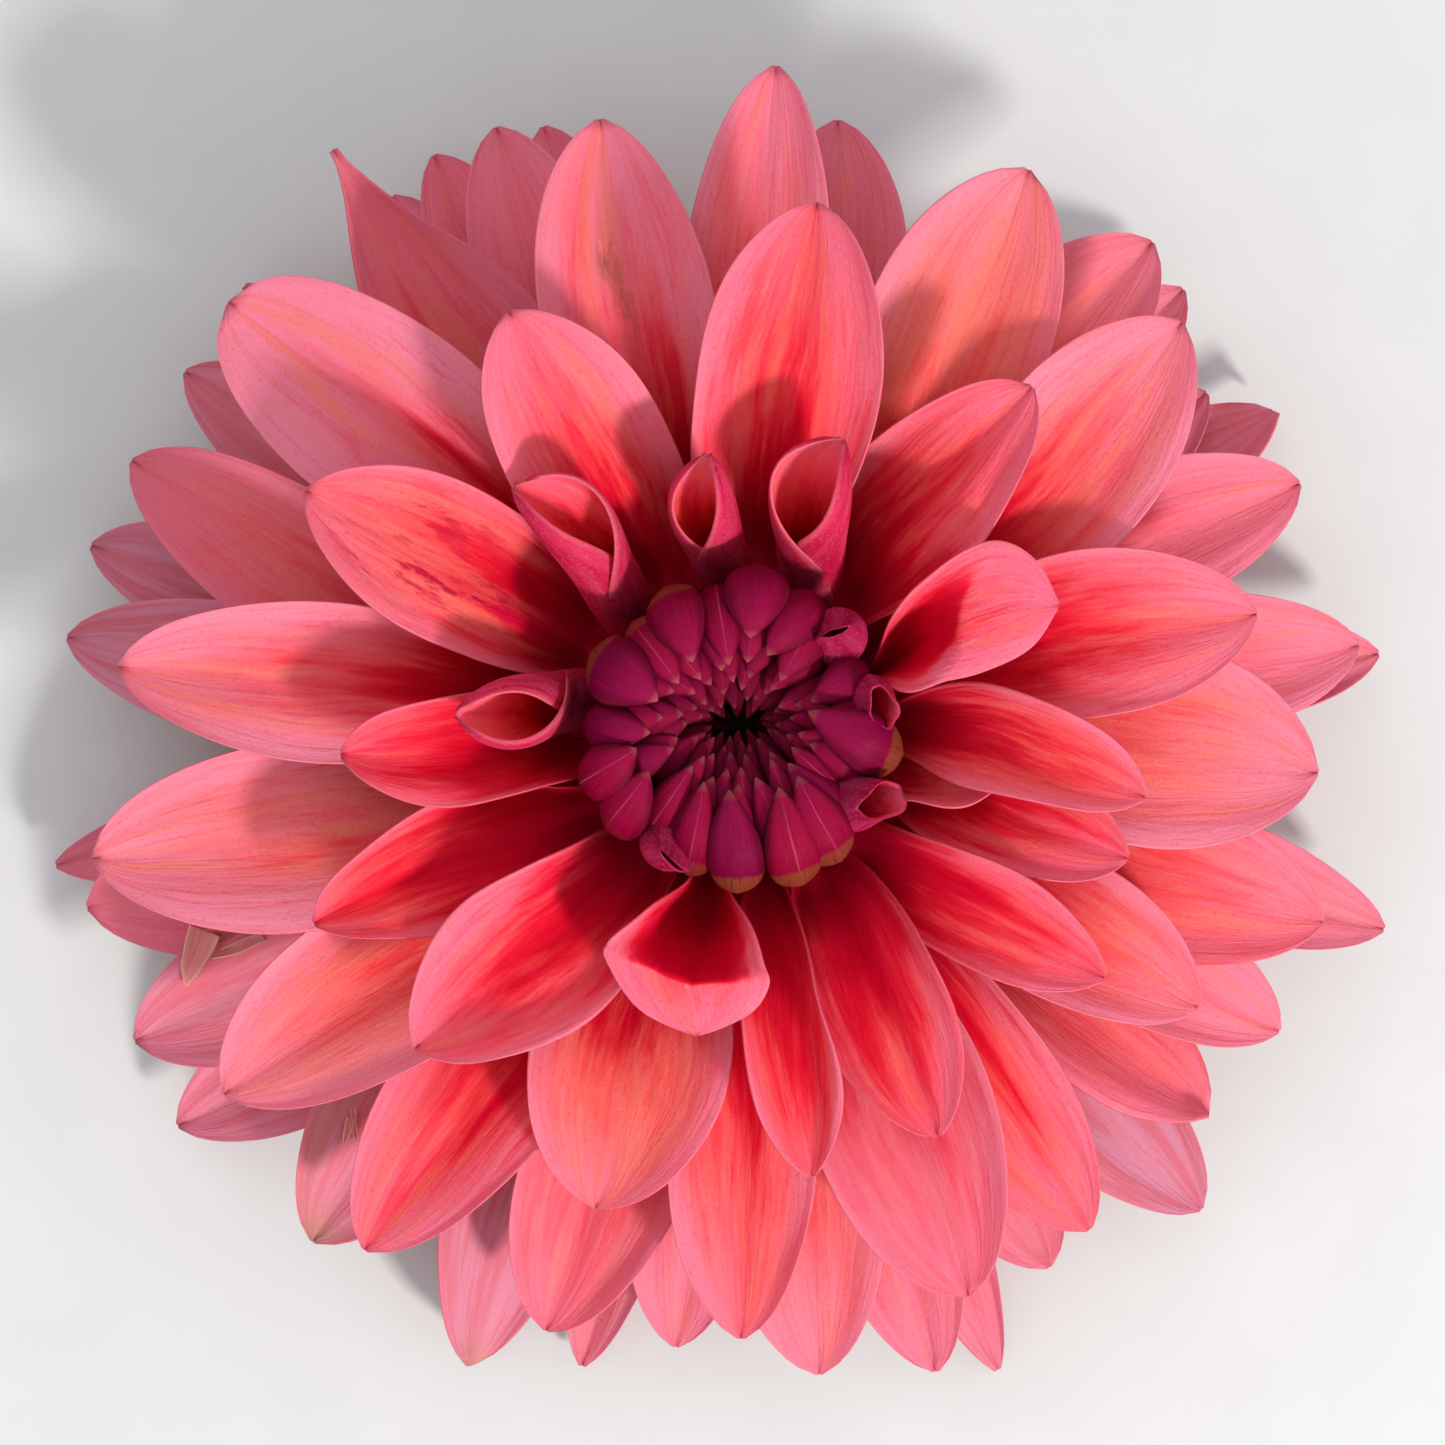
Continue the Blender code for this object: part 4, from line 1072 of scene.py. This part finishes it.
CORAL = dict(
    body=(0.96, 0.066, 0.082), rosy=(0.96, 0.095, 0.14), margin=(0.96, 0.16, 0.26),
    warm=(0.97, 0.145, 0.095), faded=(0.96, 0.155, 0.155), faded_rosy=(0.96, 0.19, 0.235),
    faded_margin=(0.96, 0.265, 0.385), faded_warm=(0.97, 0.24, 0.16), pale=(0.97, 0.26, 0.3),
    ruddy=(0.9, 0.022, 0.042), red=(0.82, 0.005, 0.032), throat=(0.64, 0.001, 0.022),
    deep=(0.36, 0.001, 0.02), dull=(0.66, 0.17, 0.23), lilac=(0.68, 0.26, 0.37),
    behind=(0.52, 0.008, 0.055), behind_pale=(0.64, 0.04, 0.11), behind_root=(0.42, 0.002, 0.034),
    stain=(0.54, 0.006, 0.05),
)
# The opening florets, which are neither faded nor dull.
CRIMSON = dict(
    CORAL, body=(0.6, 0.02, 0.065), rosy=(0.62, 0.03, 0.11), margin=(0.72, 0.11, 0.19),
    warm=(0.64, 0.03, 0.05), pale=(0.74, 0.16, 0.22), ruddy=(0.54, 0.008, 0.03),
    red=(0.48, 0.003, 0.02), throat=(0.34, 0.001, 0.012), behind=(0.34, 0.004, 0.045),
    behind_pale=(0.4, 0.02, 0.09), behind_root=(0.24, 0.001, 0.03), stain=(0.3, 0.005, 0.04),
)


def floret_look():
    """Closed crimson florets: pale crease and tip, olive cap on some, painted shade and highlight."""
    look = Look(
        "floret", 0.5, Specular_IOR_Level=0.04, Subsurface_Weight=0.1, Subsurface_Scale=0.0008,
        Subsurface_Radius=(1, 0.15, 0.2),
    )
    step, noise, mix = look.step, look.noise, look.mix
    t, x, seed = look.split("place")
    cap, y, inner = look.split("tone")
    own = seed * 31
    top = step(y, -0.1, 0.5)
    streaks = noise(x, t, own, (3, 3.5), 3, 0.6)
    fine = noise(x, t, own, (14, 9), 4, 0.65)
    side = abs(x + (fine - 0.5) * 0.12)
    # Painted shade: darker toward the outer ends and on the flanks.
    shady = look.maths("MAXIMUM", step(t, 0.85, 0.45), step(abs(x), 0.45, 1))
    crease = step(side, 0.005, 0.045, 1, 0) * top * step(t, 0.52, 0.62)
    crease = crease * step(seed, 0.35, 0.8, 0, 0.5) * step(streaks, 0.3, 0.5, 0.4, 1)
    olive = step(t + x * x * 0.06 + (fine - 0.5) * 0.05, 0.655, 0.68, 0.8, 0) * top * cap
    cracks = look.lines(noise(x, t, own, (7, 1.2), 1), 0.03, 0.7)
    colour = look.paint(
        mix(step(streaks, 0.35, 0.65), (0.27, 0.001, 0.024), (0.28, 0.001, 0.048)),
        (step(look.maths("FRACT", seed * 7.3), 0.35, 1, 0, 0.75), (0.33, 0.002, 0.028)),
        (step(seed, 0.5, 0, 0, 0.8), (0.17, 0.001, 0.046)),
        (step(fine, 0.45, 0.75, 0, 0.35), (0.42, 0.012, 0.07)),
        (step(fine, 0.5, 0.25, 0, 0.45), (0.12, 0.001, 0.016)),
        # Painted highlight: lighter toward the tips.
        (step(t, 0.66, 1, 0, 0.45), (0.36, 0.01, 0.07)),
        (shady * 0.6, (0.12, 0.001, 0.014)),
        (crease, (0.56, 0.09, 0.17)),
        (step(side, 0.85, 1) * step(t, 0.55, 0.75, 0, 0.3), (0.52, 0.05, 0.12)),
        (step(t, 0.955, 1) * step(fine, 0.2, 0.6, 0.3, 0.7), (0.5, 0.13, 0.12)),
        # Painted shade that deepens down into the heart.
        (step(inner, 0.1, 1, 0, 0.75), (0.1, 0.001, 0.012)),
        (olive, mix(cracks, (0.23, 0.05, 0.018), (0.06, 0.006, 0.006))),
        # Painted shade on the underside and lower flanks.
        (step(y, -0.1, 0.8, 0.95, 0), (0.07, 0, 0.008)),
    )
    height = fine * 0.6 + look.grain(1300) * 0.4
    return look.finish(colour, height, depth=0.00016, roughness=step(streaks, 0.2, 0.8, 0.4, 0.56))


def leaf_look(name, body, vein, tip, rim, depth):
    """Bracts: lengthwise veins, a browned tip and a paler rim."""
    look = Look(name, 0.6, Specular_IOR_Level=0.3, Subsurface_Weight=0.1, Subsurface_Scale=0.0008)
    step, noise = look.step, look.noise
    u, v, seed = look.split("place")
    own = seed * 29
    streaks = noise(v, u, own, (6, 1.8), 3, 0.6)
    veins = look.lines(noise(v, u, own, (9, 1.2)), 0.05)
    colour = look.paint(
        look.mix(step(streaks, 0.3, 0.7), body, tuple(part * 0.7 for part in body)),
        (veins * 0.6, vein),
        (step(abs(v), 0.6, 1, 0, 0.6), rim),
        (step(u + (streaks - 0.5) * 0.3, 0.75, 1.05, 0, 0.8), tip),
    )
    height = veins * 0.5 + look.grain(1100) * 0.4
    return look.finish(colour, height, depth, roughness=step(streaks, 0.2, 0.8, 0.5, 0.72))


def stem_look():
    """The cut stem: green with darker ribs and fine hairs, pale pith where it is cut."""
    look = Look("stem", 0.55, Specular_IOR_Level=0.35, Subsurface_Weight=0.1, Subsurface_Scale=0.0008)
    step, noise, mix = look.step, look.noise, look.mix
    at, turn, _ = look.split("place")
    wide, _, _ = look.split("tone")
    ribs = noise(turn, at, 0, (34, 2))
    rings = noise(wide, turn, 3, (30, 6))
    grain = look.grain(1500)
    pith = mix(step(rings, 0.4, 0.6), (0.52, 0.55, 0.3), (0.36, 0.4, 0.17))
    colour = look.paint(
        mix(step(ribs, 0.35, 0.65), (0.13, 0.22, 0.045), (0.2, 0.3, 0.075)),
        (step(grain, 0.5, 0.8, 0, 0.4), (0.09, 0.13, 0.03)),
        (step(at, 0.855, 0.865), mix(step(wide, 0.34, 0.42), pith, (0.17, 0.24, 0.06))),
    )
    height = ribs * 0.6 + grain * 0.5
    return look.finish(colour, height, depth=0.0002, roughness=step(grain, 0.2, 0.8, 0.45, 0.65))


def flesh_look(name, pale, dark, top, top_share):
    """The fleshy receptacle and the heart's floor, mottled by small scars, red under the heart."""
    look = Look(name, 0.7, Specular_IOR_Level=0.06)
    step = look.step
    grain = look.grain(600)
    spots = look.grain(260, 2)
    at, _, _ = look.split("place")
    colour = look.paint(
        look.mix(step(spots, 0.4, 0.65), pale, dark),
        (step(grain, 0.3, 0.7, 0, 0.3), tuple(part * 0.6 for part in dark)),
        (step(at, top_share, top_share + 0.08, 1, 0), top),
    )
    height = spots + grain * 0.5
    return look.finish(colour, height, depth=0.0004, roughness=step(grain, 0.2, 0.8, 0.5, 0.7))


def floor_look():
    """A plain pale floor with hardly any grain."""
    look = Look("floor", 0.85, Specular_IOR_Level=0.2)
    grain = look.grain(60)
    colour = look.mix(look.step(grain, 0.2, 0.8), (0.74, 0.74, 0.735), (0.77, 0.77, 0.765))
    return look.finish(colour, grain, depth=0.0001)


def add_floor():
    """The pale floor that the bloom lies on."""
    mesh = bpy.data.meshes.new("floor")
    work = bmesh.new()
    bmesh.ops.create_grid(work, x_segments=4, y_segments=4, size=FLOOR_HALF)
    work.to_mesh(mesh)
    work.free()
    mesh.materials.append(floor_look())
    floor = bpy.data.objects.new("floor", mesh)
    floor.location.z = FLOOR_Z * MM
    bpy.context.scene.collection.objects.link(floor)


def add_lamp(name, azimuth, elevation, distance, size, power, colour):
    """A square soft lamp aimed at the bloom."""
    lamp = bpy.data.lights.new(name, "AREA")
    lamp.size = size
    lamp.energy = power
    lamp.color = colour
    holder = bpy.data.objects.new(name, lamp)
    bpy.context.scene.collection.objects.link(holder)
    level = math.cos(math.radians(elevation))
    direction = heading(azimuth) * level + UP * math.sin(math.radians(elevation))
    holder.location = direction * distance
    holder.rotation_mode = "QUATERNION"
    holder.rotation_quaternion = Vector(direction).to_track_quat("Z", "Y")


def add_lights():
    """A soft key lamp low at the lower right, a weak fill and an even pale surround."""
    for name, numbers in LAMPS.items():
        add_lamp(name, *numbers)
    world = bpy.data.worlds.new("surround")
    bpy.context.scene.world = world
    world.use_nodes = True
    shade = world.node_tree.nodes["Background"]
    shade.inputs["Color"].default_value = (*SURROUND_COLOUR, 1)
    shade.inputs["Strength"].default_value = SURROUND
    bpy.context.scene.view_settings.view_transform = "Standard"


def add_camera():
    """Straight above, a little off the stem, as the photograph was taken."""
    camera = bpy.data.cameras.new("camera")
    camera.lens = LENS
    camera.sensor_width = SENSOR
    camera.clip_start = 0.01
    holder = bpy.data.objects.new("camera", camera)
    holder.location = (CAMERA_X * MM, CAMERA_Y * MM, CAMERA_Z * MM)
    bpy.context.scene.collection.objects.link(holder)
    bpy.context.scene.camera = holder


def solids_of(build, rows, first_seed):
    """One solid for each row of a list, each with its own seed."""
    return [build(row, first_seed + number) for number, row in enumerate(rows)]


def add_petals(whorls):
    """The six whorls of ray petals, the torn margins and the receptacle."""
    look = petal_look("petal", CORAL)
    for whorl, (name, petals) in enumerate(whorls.items()):
        if name.endswith("petals"):
            solids = solids_of(petal_solid, petals, first_seed=100 * whorl)
            add_piece(name, solids, look, "ray_petals")
    torn = leaf_look(
        "torn_margin", body=(0.92, 0.28, 0.28), vein=(0.9, 0.26, 0.26), tip=(0.84, 0.4, 0.3),
        rim=(0.92, 0.5, 0.38), depth=0.00002,
    )
    strips = solids_of(petal_solid, [torn_petal(path) for path in TORN_MARGINS], first_seed=500)
    add_piece("torn_margins", strips, torn, "ray_petals")
    flesh = flesh_look(
        "receptacle", pale=(0.42, 0.48, 0.22), dark=(0.3, 0.34, 0.13), top=(0.1, 0.004, 0.01),
        top_share=0.62,
    )
    core = turned_solid(CORE_PROFILE, around=72, rows=60, bumps=0.006, seed=1)
    add_piece("receptacle", [core], flesh, "ray_petals")


def add_heart():
    """The closed and the opening florets, and the floor under them, painted near black as shade."""
    closed = solids_of(floret_solid, FLORETS + inner_florets(), first_seed=900)
    add_piece("closed_florets", closed, floret_look(), "heart_florets")
    opening = solids_of(cup_solid, OPENING_FLORETS, first_seed=800)
    add_piece("opening_florets", opening, petal_look("opening_floret", CRIMSON), "heart_florets")
    # The floor is painted near black: shade in the gaps between the florets and in the hollow.
    flesh = flesh_look(
        "heart_floor_shade", pale=(0.035, 0.004, 0.006), dark=(0.012, 0.001, 0.002),
        top=(0.02, 0.002, 0.003), top_share=0.1,
    )
    floor = turned_solid(HEART_FLOOR, around=48, rows=40, bumps=0.01, seed=2)
    add_piece("heart_floor_shade", [floor], flesh, "heart_florets")


def add_underside(whorls):
    """The papery cup, the leafy bracts and the cut stem."""
    papery = leaf_look(
        "papery_bract", body=(0.55, 0.5, 0.27), vein=(0.38, 0.33, 0.14), tip=(0.34, 0.2, 0.09),
        rim=(0.68, 0.64, 0.42), depth=0.0002,
    )
    disc = turned_solid(BRACT_DISC_PROFILE, around=48, rows=30, bumps=0.004, seed=3)
    cup = solids_of(petal_solid, whorls["papery"], first_seed=700)
    add_piece("papery_bracts", [*cup, disc], papery, "inner_bracts")
    leafy = leaf_look(
        "leafy_bract", body=(0.13, 0.24, 0.05), vein=(0.22, 0.33, 0.1), tip=(0.2, 0.16, 0.05),
        rim=(0.24, 0.32, 0.11), depth=0.0003,
    )
    leaves = solids_of(petal_solid, whorls["leafy"], first_seed=600)
    add_piece("leafy_bracts", leaves, leafy, "stem_and_outer_bracts")
    stem = turned_solid(STEM_PROFILE, around=64, rows=90, bumps=0.008, seed=4)
    add_piece("cut_stem", [stem], stem_look(), "stem_and_outer_bracts")


def main():
    """Builds every piece round the frame, then the stage."""
    whorls = settled_whorls()
    add_petals(whorls)
    add_heart()
    add_underside(whorls)
    add_floor()
    add_lights()
    add_camera()


main()
